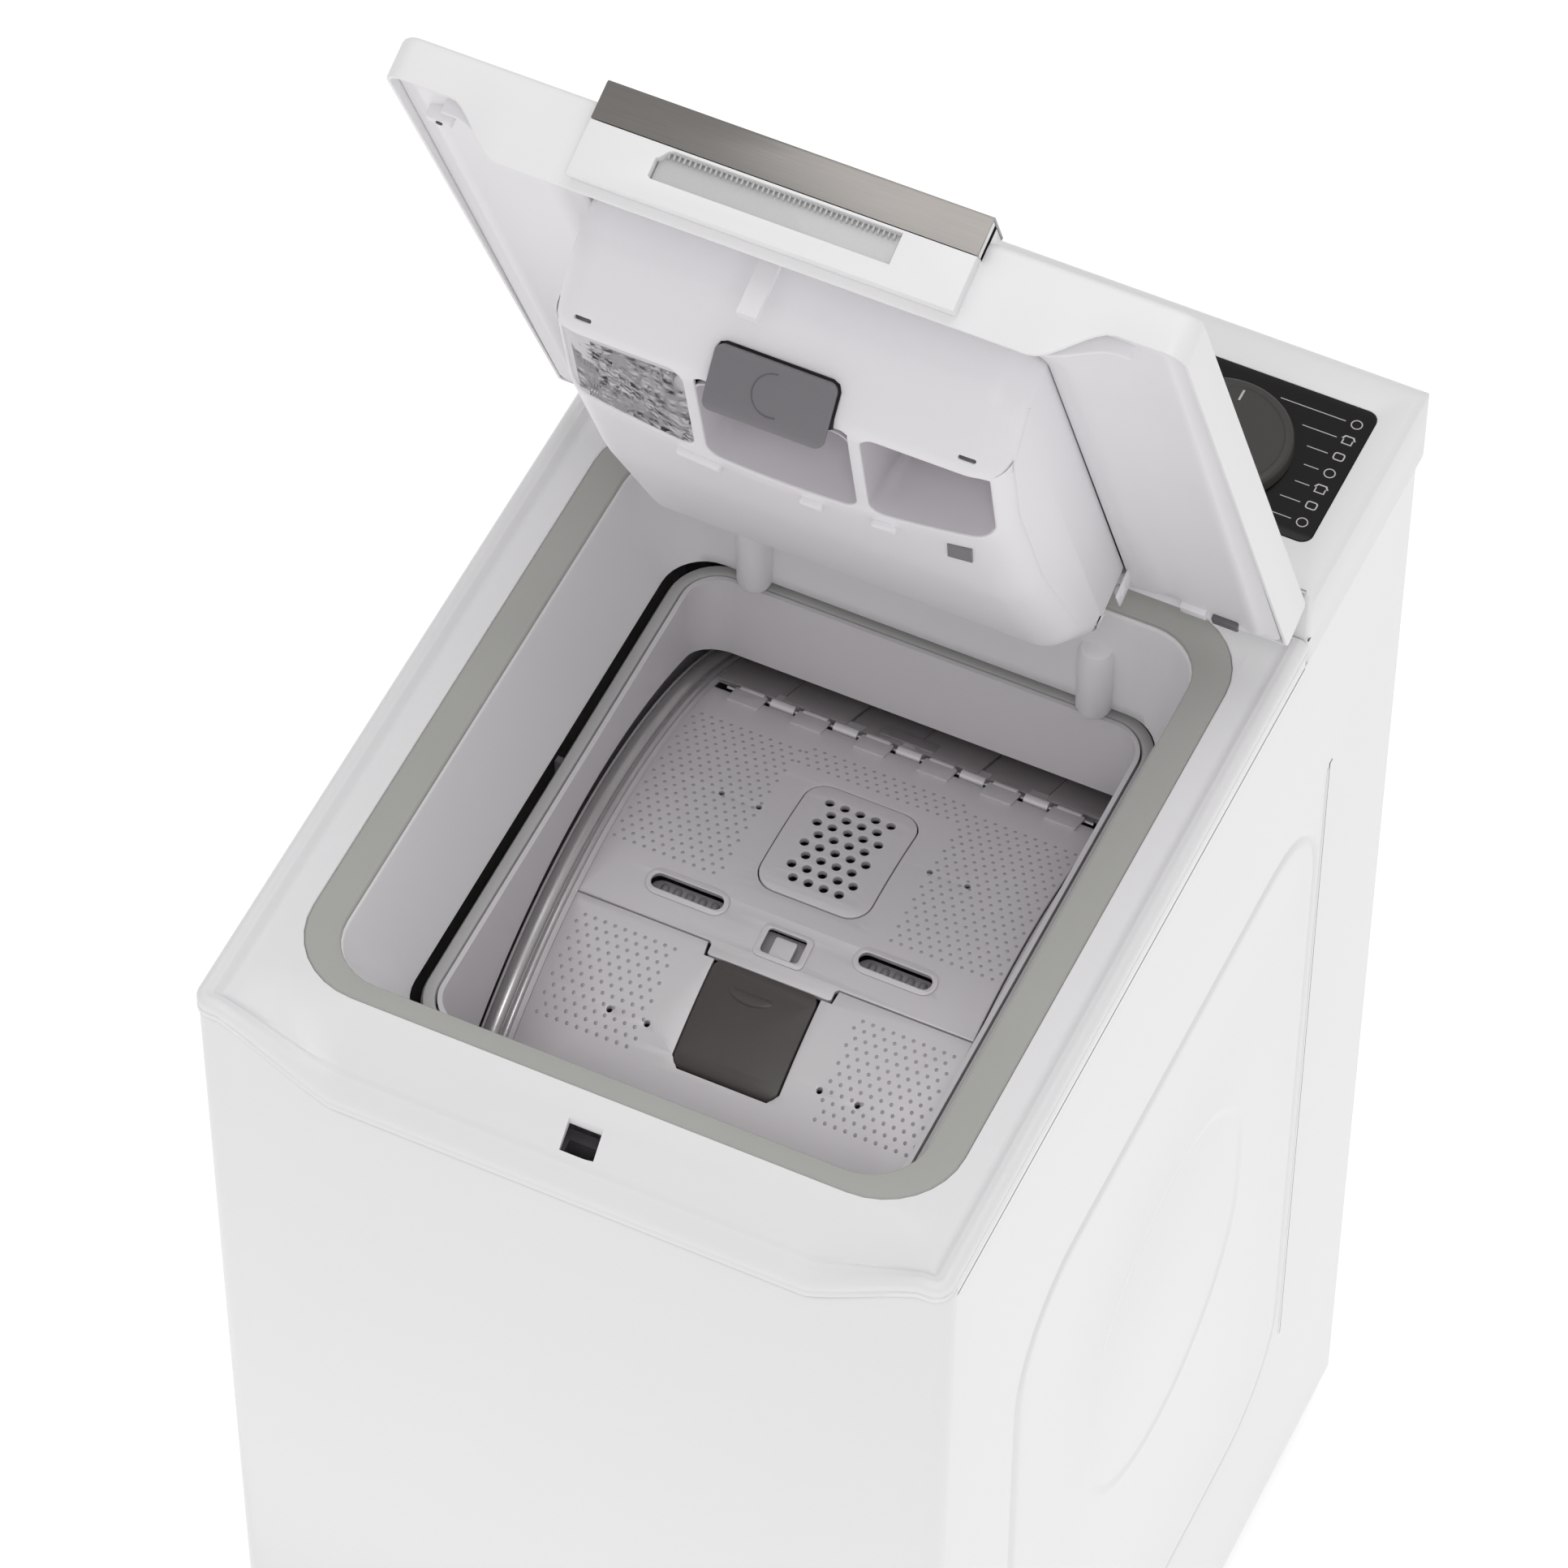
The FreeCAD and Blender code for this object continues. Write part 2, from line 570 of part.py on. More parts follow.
def foot(x, y):
    outline = [("0", "0"), ("0", "foot_radius"), ("foot_pad - 2", "foot_radius"),
               ("foot_pad", "foot_radius - 3"),
               ("foot_pad", "stem_radius"), ("stem_height", "stem_radius"), ("stem_height", "0")]
    return turned("Z", outline, x=x, y=y)


def make_feet():
    foot_x, foot_front, foot_rear = foot_places()
    node(foot(f"-({foot_x})", foot_front), "front_left_foot")
    node(foot(foot_x, foot_front), "front_right_foot")
    node(group(foot(f"-({foot_x})", foot_rear), foot(foot_x, foot_rear)), "rear_feet")


def make_side_panels():
    """A sheet with a flange turned in at its front and rear; the console hangs over its top."""
    front, rear = f"{FRONT} + corner_wrap + panel_gap", PANEL_REAR
    outline = [
        (HALF, front), (HALF, rear),
        (f"{HALF} - flange_width", rear), (f"{HALF} - flange_width", f"{rear} - sheet_gauge"),
        (INSIDE, f"{rear} - sheet_gauge"), (INSIDE, f"{front} + sheet_gauge"),
        (f"{HALF} - flange_width", f"{front} + sheet_gauge"), (f"{HALF} - flange_width", front),
    ]
    notch = box(f"{HALF} - flange_width - 1", f"{HALF} + 1", f"{CONSOLE_FRONT} - panel_gap", f"{rear} + 1",
                f"{CONSOLE_LOW} - panel_gap", "rim_height")
    right = cut(prism("XY", outline, "foot_reach - 5", PANEL_TOP, "2", (0, 1)), notch)
    node(right, "right_side_panel")
    node(mirrored(right), "left_side_panel")


def make_front_panel():
    """Folded round both upright corners; its top edge follows the top plate's dip."""
    back = f"{FRONT} + corner_wrap"
    outline = [
        (f"-{HALF}", back), (f"-{HALF}", PANEL_FRONT), (HALF, PANEL_FRONT), (HALF, back),
        (INSIDE, back), (INSIDE, f"{PANEL_FRONT} + sheet_gauge"),
        (f"-{INSIDE}", f"{PANEL_FRONT} + sheet_gauge"), (f"-{INSIDE}", back),
    ]
    body = prism("XY", outline, "kick_top + panel_gap", PANEL_TOP)
    pad = body.Tip
    for corners, radius in (((1, 2), "corner_radius"), ((5, 6), "corner_radius - sheet_gauge")):
        spots = [(value(outline[index][0]), value(outline[index][1])) for index in corners]
        round_edges(body, pad, "XY", spots, radius)
        doc.recompute()
        pad = body.Tip
    node(cut(body, dip("skirt_height + panel_gap")), "front_panel")


def make_rear_panel():
    edge = f"{INSIDE} - panel_gap"
    y0, y1 = f"{PANEL_REAR} - 2*sheet_gauge - panel_gap", f"{PANEL_REAR} - sheet_gauge - panel_gap"
    panel = box(f"-({edge})", edge, y0, y1, BASE_TOP, f"{CONSOLE_LOW} - panel_gap")
    hole = box("-service_half", "service_half", f"{y0} - 1", f"{y1} + 1",
               f"{DRUM_Z} - service_half", f"{DRUM_Z} + service_half")
    inlet = rod("Y", "-inlet_offset", f"{y0} - 1", "inlet_height", "inlet_radius + 2", "sheet_gauge + 2")
    gland = rod("Y", "gland_offset", f"{y0} - 1", "gland_height", "gland_radius + running_gap",
                "sheet_gauge + 2")
    node(cut(panel, hole, inlet, gland), "rear_panel")
    cover_half = "(service_half + service_lap)"
    cover = rounded_slab(f"-{cover_half}", cover_half, f"{DRUM_Z} - {cover_half}", f"{DRUM_Z} + {cover_half}",
                         "service_lap/2", "0", "sheet_gauge")
    cover.Placement = Placement(Vector(0, 0, 0), Rotation(Vector(1, 0, 0), 90))
    set_size(cover, "Placement.Base.y", f"{y1} + sheet_gauge")
    node(cover, "rear_service_cover")
    screws = []
    corner = "(service_half + service_lap/2)"
    for x in (f"-{corner}", corner):
        for z in (f"{DRUM_Z} - {corner}", f"{DRUM_Z} + {corner}"):
            screws.append(rod("Y", x, f"{y1} + sheet_gauge", z, "screw_head", "screw_rise"))
    bottom, top = f"({BASE_TOP} + screw_inset)", f"({CONSOLE_LOW} - panel_gap - screw_inset)"
    for x in (f"-{HALF} + flange_width/2", f"{HALF} - flange_width/2"):
        for step in range(SIDE_SCREWS):
            height = f"{bottom} + ({top} - {bottom})*{step}/{SIDE_SCREWS - 1}"
            screws.append(rod("Y", x, PANEL_REAR, height, "screw_head", "screw_rise"))
    node(group(*screws), "panel_screws")
    grommet = [("0", "0"), ("0", "gland_radius"), ("sheet_gauge + 1", "gland_radius"),
               ("sheet_gauge + 1", "gland_radius + 3"), ("sheet_gauge + 5", "gland_radius + 3"),
               ("sheet_gauge + 5", "0")]
    plug = turned("Y", grommet, x="gland_offset", y=f"{y0} - 0.5", z="gland_height")
    bore = rod("Y", "gland_offset", f"{y0} - 2", "gland_height", "gland_bore", "20")
    node(cut(plug, bore), "cord_gland")


def make_kick_plate():
    y0, y1 = f"{PANEL_FRONT} + kick_set", f"{PANEL_FRONT} + kick_set + kick_wall"
    edge = f"{INSIDE} - panel_gap"
    plate = box(f"-({edge})", edge, y0, y1, "foot_reach - 5", "kick_top")
    left, right = "flap_centre - flap_width/2", "flap_centre + flap_width/2"
    top = "flap_bottom + flap_height"
    window = box(left, right, f"{y0} - 1", f"{y1} + 1", "flap_bottom", top)
    node(cut(plate, window), "kick_plate")
    gap = "0.6"
    door = box(f"{left} + {gap}", f"{right} - {gap}", y0, y1, f"flap_bottom + {gap}", f"{top} - {gap}")
    lip = box("flap_centre - 12", "flap_centre + 12", y1, f"{y1} + 2", f"{top} - 8", f"{top} - 5")
    node(fuse(door, lip), "filter_flap")


def make_pump():
    """The drain pump with its screw-in filter, behind the flap in the kick plate."""
    start = f"({PANEL_FRONT} + kick_set + kick_wall + 6)"
    grip = box("flap_centre - filter_radius*0.8", "flap_centre + filter_radius*0.8", f"{start} - 2",
               f"{start} + 8", f"{FILTER_Z} - 3.5", f"{FILTER_Z} + 3.5")
    disc = rod("Y", "flap_centre", f"{start} + 6", FILTER_Z, "filter_radius", "6")
    barrel = rod("Y", "flap_centre", f"{start} + 6", FILTER_Z, "filter_radius - 5", "filter_length")
    slots = [
        box("flap_centre - filter_radius", "flap_centre + filter_radius", f"{start} + {at}",
            f"{start} + {at} + 5",
            f"{FILTER_Z} - 5", f"{FILTER_Z} + 5")
        for at in ("20", "32", "44")
    ]
    node(cut(fuse(grip, disc, barrel), *slots), "pump_filter")
    depth = "filter_length + 12"
    case = rod("Y", "flap_centre", f"{start} + 5", FILTER_Z, "filter_radius + pump_wall", f"{depth} + 40")
    bore = rod("Y", "flap_centre", f"{start} + 4", FILTER_Z, "filter_radius + running_gap", depth)
    motor = rod("Y", "flap_centre", f"{start} + {depth} + 44", FILTER_Z, "filter_radius - 2", "45")
    rear = rod("Y", "flap_centre", f"{start} + {depth} + 40", FILTER_Z, "filter_radius + 8", "6")
    outlet = rod("X", "flap_centre - filter_radius - 40", f"{start} + {depth} + 20", FILTER_Z, "9", "44")
    outlet_bore = rod("X", "flap_centre - filter_radius - 41", f"{start} + {depth} + 20", FILTER_Z, "6.5",
                      "30")
    node(cut(fuse(case, motor, rear, outlet), bore, outlet_bore), "drain_pump")


# ---------------------------------------------------------------- top plate, funnel and console

SEAL_OUT = ("-width/2 + seal_side", "width/2 - seal_side",
            "-depth/2 + dip_run", f"{CONSOLE_FRONT} - seal_rear", "seal_radius")
SEAL_IN = ("-width/2 + seal_side + seal_band", "width/2 - seal_side - seal_band",
           "-depth/2 + dip_run + seal_band_front", f"{CONSOLE_FRONT} - seal_rear - seal_band_rear",
           "seal_radius - seal_band_front")


def grown(outline, by):
    x0, x1, y0, y1, radius = outline
    return (f"{x0} - ({by})", f"{x1} + ({by})", f"{y0} - ({by})", f"{y1} + ({by})", f"{radius} + ({by})")


FUNNEL_LOW = (f"-({NECK_HALF}) - funnel_lean_side", f"{NECK_HALF} + funnel_lean_side",
              f"{NECK_FRONT} - funnel_lean_front", f"{NECK_REAR} + funnel_lean_rear", "funnel_radius_low")
NECK_IN = (f"-({NECK_HALF})", NECK_HALF, NECK_FRONT, NECK_REAR, "funnel_radius_low - 6")


def make_top_plate():
    """Deck, raised rim, front slope and loading funnel are one moulding."""
    rear = f"{CONSOLE_FRONT} - panel_gap"
    low, deck_low = "rim_height - dip_drop - skirt_height", f"{LEDGE} - deck_wall"
    plan = [(f"-{HALF}", FRONT), (HALF, FRONT), (HALF, rear), (f"-{HALF}", rear)]
    block = prism("XY", plan, low, "rim_height", "corner_radius", (0, 1))
    under = cut(box("-width", "width", "-depth", "depth", f"{low} - 1", "rim_height - skirt_height"),
                dip("skirt_height"))
    deck = box(f"-{HALF} + rim_width", f"{HALF} - rim_width", f"{FRONT} + rim_width", f"{rear} + 1",
               DECK, "rim_height + 1")
    seat = rounded_slab(*SEAL_OUT, LEDGE, f"{DECK} + 1")
    inset = [(f"-{HALF} + deck_wall", f"{FRONT} + deck_wall"),
             (f"{HALF} - deck_wall", f"{FRONT} + deck_wall"),
             (f"{HALF} - deck_wall", f"{rear} + 1"), (f"-{HALF} + deck_wall", f"{rear} + 1")]
    hollow = cut(prism("XY", inset, f"{low} - 1", deck_low, "corner_radius - deck_wall", (0, 1)),
                 dip("1.5*deck_wall"))
    mouth = rounded_slab(*SEAL_IN, f"{deck_low} - 1", "rim_height + 1")
    slot = box("-latch_slot_width/2", "latch_slot_width/2", f"{LATCH_Y} - latch_slot_depth/2",
               f"{LATCH_Y} + latch_slot_depth/2", f"{low} - 1", "rim_height + 1")
    plate = cut(block, under, dip("0"), deck, seat, hollow, mouth, slot)
    outer = taper((*grown(FUNNEL_LOW, "funnel_wall"), LIP), (*grown(SEAL_IN, "funnel_wall"), LEDGE))
    inner = taper((*FUNNEL_LOW, LIP), (*SEAL_IN, LEDGE))
    spouts = [
        rod("Z", x, f"{NECK_REAR} + funnel_lean_rear", f"{LIP} + 1", "spout_radius", "spout_height")
        for x in ("-spout_spread", "spout_spread")
    ]
    node(fuse(plate, cut(outer, inner), *spouts), "top_plate")


def make_lid_lock():
    """The lock that holds the lid's hook, under the latch slot."""
    case = box("-22", "22", f"{LATCH_Y} - 8", f"{LATCH_Y} + 12", f"{HOOK_LOW} - 18", f"{HOOK_LOW} + 9")
    pocket = box("-latch_slot_width/2", "latch_slot_width/2", f"{LATCH_Y} - latch_slot_depth/2",
                 f"{LATCH_Y} + latch_slot_depth/2", f"{HOOK_LOW} - 6", f"{HOOK_LOW} + 10")
    node(cut(case, pocket), "lid_lock")


def make_seals():
    ring = cut(rounded_slab(*SEAL_OUT, LEDGE, DECK), rounded_slab(*SEAL_IN, f"{LEDGE} - 1", f"{DECK} + 1"))
    node(ring, "lid_seal")
    low, high = f"{NECK_TOP} - 9", f"{LIP} - panel_gap"
    outside = rounded_slab(*grown(NECK_IN, "funnel_wall + 11"), low, high)
    inside = rounded_slab(*grown(NECK_IN, "funnel_wall + panel_gap"), f"{low} - 1", f"{high} + 1")
    fold = cut(rounded_slab(*grown(NECK_IN, "funnel_wall + 8"), f"{low} + 2.5", f"{low} + 5.5"),
               rounded_slab(*grown(NECK_IN, "funnel_wall + 3"), f"{low} + 2", f"{low} + 6"))
    node(cut(outside, inside, fold), "bellows_seal")


def make_console():
    rear = "depth/2"
    side = [(CONSOLE_FRONT, CONSOLE_LOW), (rear, CONSOLE_LOW), (rear, "console_top"),
            (CONSOLE_FRONT, "console_top")]
    shell = prism("YZ", side, f"-{HALF}", HALF, "console_round", (2,))
    hollow = box(f"-{HALF} + console_wall", f"{HALF} - console_wall", f"{CONSOLE_FRONT} + console_wall",
                 f"{rear} - console_wall", f"{CONSOLE_LOW} - 1",
                 "console_top - glass_thickness - console_wall")
    recess = rounded_slab(*GLASS, "console_top - glass_thickness", "console_top + 1")
    shaft = rod("Z", "knob_offset", KNOB_Y, "console_top - 20", "knob_shaft + running_gap", "30")
    ears = []
    for side_name in ("", "-"):
        for start in (PIN_OUT_EAR, PIN_IN_EAR):
            low = f"{side_name}({start})" if not side_name else f"-({start}) - ear_width"
            ears.append(rod("X", low, HINGE_Y, "hinge_height", "pin_radius + 1.8", "ear_width"))
            ears.append(box(low, f"{low} + ear_width", f"{HINGE_Y} + 0.2", f"{HINGE_Y} + 4",
                            "console_top - 4", "hinge_height"))
    bores = [rod("X", PIN_START, HINGE_Y, "hinge_height", "pin_radius", "pin_length"),
             rod("X", f"-({PIN_START}) - pin_length", HINGE_Y, "hinge_height", "pin_radius", "pin_length")]
    node(cut(fuse(cut(shell, hollow, recess, shaft), *ears), *bores), "console_housing")
    node(group(rod("X", PIN_START, HINGE_Y, "hinge_height", "pin_radius", "pin_length"),
               rod("X", f"-({PIN_START}) - pin_length", HINGE_Y, "hinge_height", "pin_radius", "pin_length")),
         "lid_hinge_pins")
    glass = rounded_slab(*grown(GLASS, "-panel_gap"), "console_top - glass_thickness", "console_top")
    node(cut(glass, rod("Z", "knob_offset", KNOB_Y, "console_top - 20", "knob_shaft + running_gap", "30")),
         "display_glass")
    cap = turned("Z", [("running_gap", "0"), ("running_gap", "knob_radius"), ("knob_height - 2", "knob_radius"),
                       ("knob_height", "knob_radius - 3"), ("knob_height", "0")],
                 x="knob_offset", y=KNOB_Y, z="console_top")
    stem = rod("Z", "knob_offset", KNOB_Y, "console_top - 20", "knob_shaft", "21")
    node(fuse(cap, stem), "program_knob")
    board = box("-110", "knob_offset + 30", f"{KNOB_Y} - 34", f"{KNOB_Y} + 34", "console_top - 32",
                "console_top - 30")
    encoder = box("knob_offset - 9", "knob_offset + 9", f"{KNOB_Y} - 9", f"{KNOB_Y} + 9",
                  "console_top - 30", "console_top - 10")
    relays = [box(f"{x}", f"{x} + 16", f"{KNOB_Y} - 26", f"{KNOB_Y} - 12", "console_top - 30",
                  "console_top - 16")
              for x in (-96, -72, -48)]
    choke = rod("Z", "-40", f"{KNOB_Y} + 14", "console_top - 30", "11", "15")
    screen = box("-30", "60", f"{KNOB_Y} - 18", f"{KNOB_Y} + 18", "console_top - 30", "console_top - 22")
    bore = rod("Z", "knob_offset", KNOB_Y, "console_top - 25", "knob_shaft + pin_gap", "30")
    node(cut(fuse(board, encoder, choke, screen, *relays), bore), "control_board")


# ---------------------------------------------------------------- lid, drawn closed


def make_lid():
    top_rear = "(hinge_height + 1)"
    low_rear = f"({LID_LOW} + 5)"
    side = [(LID_FRONT, LID_LOW), (LID_FRONT, "lid_front_top"), (LID_REAR, top_rear), (LID_REAR, low_rear)]
    shell = prism("YZ", side, f"-{HALF}", HALF, "4", (1,))
    inner = prism("YZ", [
        (f"{LID_FRONT} + lid_wall", f"{LID_LOW} - 1"),
        (f"{LID_FRONT} + lid_wall", "lid_front_top - lid_wall"),
        (f"{LID_REAR} - lid_wall", f"{top_rear} - lid_wall"), (f"{LID_REAR} - lid_wall", f"{LID_LOW} - 1"),
    ], f"-{HALF} + lid_wall", f"{HALF} - lid_wall")
    apron = prism("XZ", [
        ("-lid_dip_half - lid_dip_slope", f"{LID_LOW} + 1"), ("-lid_dip_half", f"{LID_LOW} - lid_dip"),
        ("lid_dip_half", f"{LID_LOW} - lid_dip"), ("lid_dip_half + lid_dip_slope", f"{LID_LOW} + 1"),
    ], LID_FRONT, f"{LID_FRONT} + lid_wall")
    barrels, bores = [], []
    for low in (f"{PIN_IN_EAR} + ear_width + running_gap",
                f"-({PIN_OUT_EAR}) + running_gap"):
        length = f"({PIN_OUT_EAR}) - ({PIN_IN_EAR}) - ear_width - 2*running_gap"
        barrels.append(rod("X", low, HINGE_Y, "hinge_height", "pin_radius + 1.8", length))
        barrels.append(box(low, f"{low} + {length}", f"{LID_REAR} - 1", f"{HINGE_Y} - pin_radius - 0.5",
                           "hinge_height - pin_radius - 1.5", "hinge_height + 1"))
        bores.append(rod("X", f"{low} - 1", HINGE_Y, "hinge_height", "pin_radius + pin_gap", f"{length} + 2"))
    node(opened(cut(fuse(cut(shell, inner), apron, *barrels), *bores)), "lid_outer_shell")

    gap = "(lid_wall + running_gap)"
    face, back = f"{LID_LOW} + liner_depth", f"{LID_LOW} + liner_depth + liner_wall"
    liner = box(f"-{HALF} + {gap}", f"{HALF} - {gap}", f"{LID_FRONT} + {gap}", f"{LID_REAR} - {gap}",
                face, back)
    bay = box("-tray_half - tray_gap", "tray_half + tray_gap", f"{TRAY_FRONT} - tray_gap",
              f"{TRAY_REAR} + tray_gap",
              f"{face} - 1", f"{back} + 1")
    ears, holes = [], []
    for x in ("tray_half + tray_gap", "-tray_half - tray_gap - liner_wall"):
        ears.append(box(x, f"{x} + liner_wall", f"{TRAY_PIN_Y} - 7", f"{TRAY_PIN_Y} + 7", f"{TRAY_PIN_Z} - 7",
                        f"{back}"))
        holes.append(rod("X", f"{x} - 1", TRAY_PIN_Y, TRAY_PIN_Z, "tray_pin_radius + pin_gap",
                         "liner_wall + 2"))
    node(opened(cut(fuse(cut(liner, bay), *ears), *holes)), "lid_liner")

    hook = fuse(
        box("-5", "5", f"{LATCH_Y} - 2", f"{LATCH_Y} + 2", HOOK_LOW, face),
        box("-5", "5", f"{LATCH_Y} + 1", f"{LATCH_Y} + 4.5", HOOK_LOW, f"{HOOK_LOW} + 5"),
        box("-14", "14", f"{LATCH_Y} - 7", f"{LATCH_Y} + 7", f"{face} - 2", face),
    )
    node(opened(hook), "lid_latch_hook")


def make_handle():
    """A block on the lid's front with a metal angle strip over it and a ribbed grip."""
    front = f"{LID_FRONT} - handle_proud"
    top = "(lid_front_top + handle_rise)"
    low = f"({top} - handle_drop)"
    seat = "(strip_thickness)"
    profile = [
        (f"{front}", low), (f"{front}", f"{top} - strip_drop"), (f"{front} + {seat}", f"{top} - strip_drop"),
        (f"{front} + {seat}", f"{top} - {seat}"), (f"{LID_FRONT} + handle_back", f"{top} - {seat}"),
        (f"{LID_FRONT} + handle_back", "lid_front_top + 1.6"), (LID_FRONT, "lid_front_top + 1"),
        (LID_FRONT, low),
    ]
    block = prism("YZ", profile, "-handle_half", "handle_half")
    recess = box("-grip_half", "grip_half", f"{front} - 1", f"{front} + grip_depth", f"{low} + 11",
                 f"{low} + 11 + grip_height")
    node(opened(cut(block, recess)), "lid_handle")
    strip = prism("YZ", [
        (front, f"{top} - strip_drop"), (front, top), (f"{LID_FRONT} + handle_back", top),
        (f"{LID_FRONT} + handle_back", f"{top} - {seat}"), (f"{front} + {seat}", f"{top} - {seat}"),
        (f"{front} + {seat}", f"{top} - strip_drop"),
    ], "-handle_half", "handle_half")
    node(opened(strip), "handle_strip")
    plate = box("-grip_half", "grip_half", f"{front} + grip_depth - 3", f"{front} + grip_depth",
                f"{low} + 11",
                f"{low} + 11 + grip_height")
    ribs = [box(f"-grip_half + 4 + {8*index}", f"-grip_half + 6 + {8*index}", f"{front} + grip_depth - 4.5",
                f"{front} + grip_depth - 2.5", f"{low} + 13", f"{low} + 9 + grip_height")
            for index in range(15)]
    node(opened(fuse(plate, *ribs)), "handle_grip")


def on_brow(along, into):
    """A point of the tray's sloping brow: so far down along it, so far into the tray."""
    length = "sqrt(brow_run^2 + brow_drop^2)"
    return (f"{TRAY_FRONT} + 2 + (({along})*brow_run + ({into})*brow_drop)/{length}",
            f"{TRAY_EDGE} - (({along})*brow_drop - ({into})*brow_run)/{length}")


def make_dispenser():
    """The tray hangs in the lid; each pocket's mouth faces the user while the lid is open."""
    front, rear = TRAY_FRONT, TRAY_REAR
    top, belly = f"{LID_LOW} + liner_depth + 1", f"({LID_LOW} - tray_belly)"
    crest = f"({TRAY_EDGE} - brow_drop)"
    side = [
        (front, top), (f"{front} + 2", TRAY_EDGE), (f"{front} + 2 + brow_run", crest),
        (f"{front} + mouth_end + 4", belly), (f"{front} + belly_run", f"{belly} + 3"),
        (f"{rear} - tail_run", f"{belly} + 12"), (rear, f"{belly} + 34"), (rear, top),
    ]
    body = prism("YZ", side, "-tray_half", "tray_half")
    pocket_side = [
        on_brow("sqrt(brow_run^2 + brow_drop^2)", "brow_wall"), (f"{front} + mouth_end", f"{belly} + 4"),
        (f"{rear} - tail_run", f"{belly} + 16"), (f"{rear} - tail_run", f"{LID_LOW} - 10"),
        (f"{front} + 15", f"{LID_LOW} - 10"), on_brow("0", "brow_wall"),
    ]
    mouth_start = on_brow("sqrt(brow_run^2 + brow_drop^2)", "brow_wall")[0]
    mouth = (mouth_start, f"{front} + mouth_end", f"{belly} - 20", f"{crest} + 4")
    edges = (("-tray_half + tray_wall", "-tray_middle_half - tray_web"),
             ("-tray_middle_half", "tray_middle_half"),
             ("tray_middle_half + tray_web", "tray_half - tray_wall"))
    pockets = []
    for low, high in edges:
        pockets.append(prism("YZ", pocket_side, low, high))
        pockets.append(box(low, high, *mouth))
    clear = "button_start - button_slack", "button_end + button_slack"
    bay = prism("YZ", [on_brow(clear[0], "-20"), on_brow(clear[0], "bay_depth"), on_brow(clear[1], "bay_depth"),
                       on_brow(clear[1], "-20")],
                "-button_half - button_slack", "button_half + button_slack")
    hollow = box("-tray_half + tray_wall", "tray_half - tray_wall", f"{front} + 18 + tray_wall",
                 f"{rear} - tray_wall", f"{LID_LOW} - 10 + tray_wall", f"{top} + 1")
    tail = box("-tray_half + tray_wall", "tray_half - tray_wall", f"{rear} - tail_run + tray_wall",
               f"{rear} - tray_wall", f"{belly} + 34 + tray_wall", f"{top} + 1")
    cheek_side = [
        (f"{front} + mouth_end", f"{LID_LOW} + 1"), (f"{front} + mouth_end", TRAY_EDGE),
        (f"{rear} - tail_run", f"{belly} + 20"), (rear, f"{belly} + 34"), (rear, f"{LID_LOW} + 1"),
    ]
    cheeks = [prism("YZ", cheek_side, low, high)
              for low, high in (("tray_half - 1", "tray_half + cheek_rise"), ("-tray_half - cheek_rise", "-tray_half + 1"))]
    pin_length = "tray_gap + liner_wall + 1"
    pins = [rod("X", x, TRAY_PIN_Y, TRAY_PIN_Z, "tray_pin_radius", pin_length)
            for x in ("tray_half - 1", "-tray_half - tray_gap - liner_wall")]
    node(opened(fuse(cut(body, *pockets, bay, hollow, tail), *cheeks, *pins)), "dispenser_tray")
    tongue = [on_brow("button_start", "-button_thickness"), on_brow("button_start", "0"),
              on_brow("button_end", "0"), on_brow("button_end", "-button_thickness")]
    node(opened(prism("YZ", tongue, "-button_half", "button_half")), "dispenser_button")


# ---------------------------------------------------------------- tub


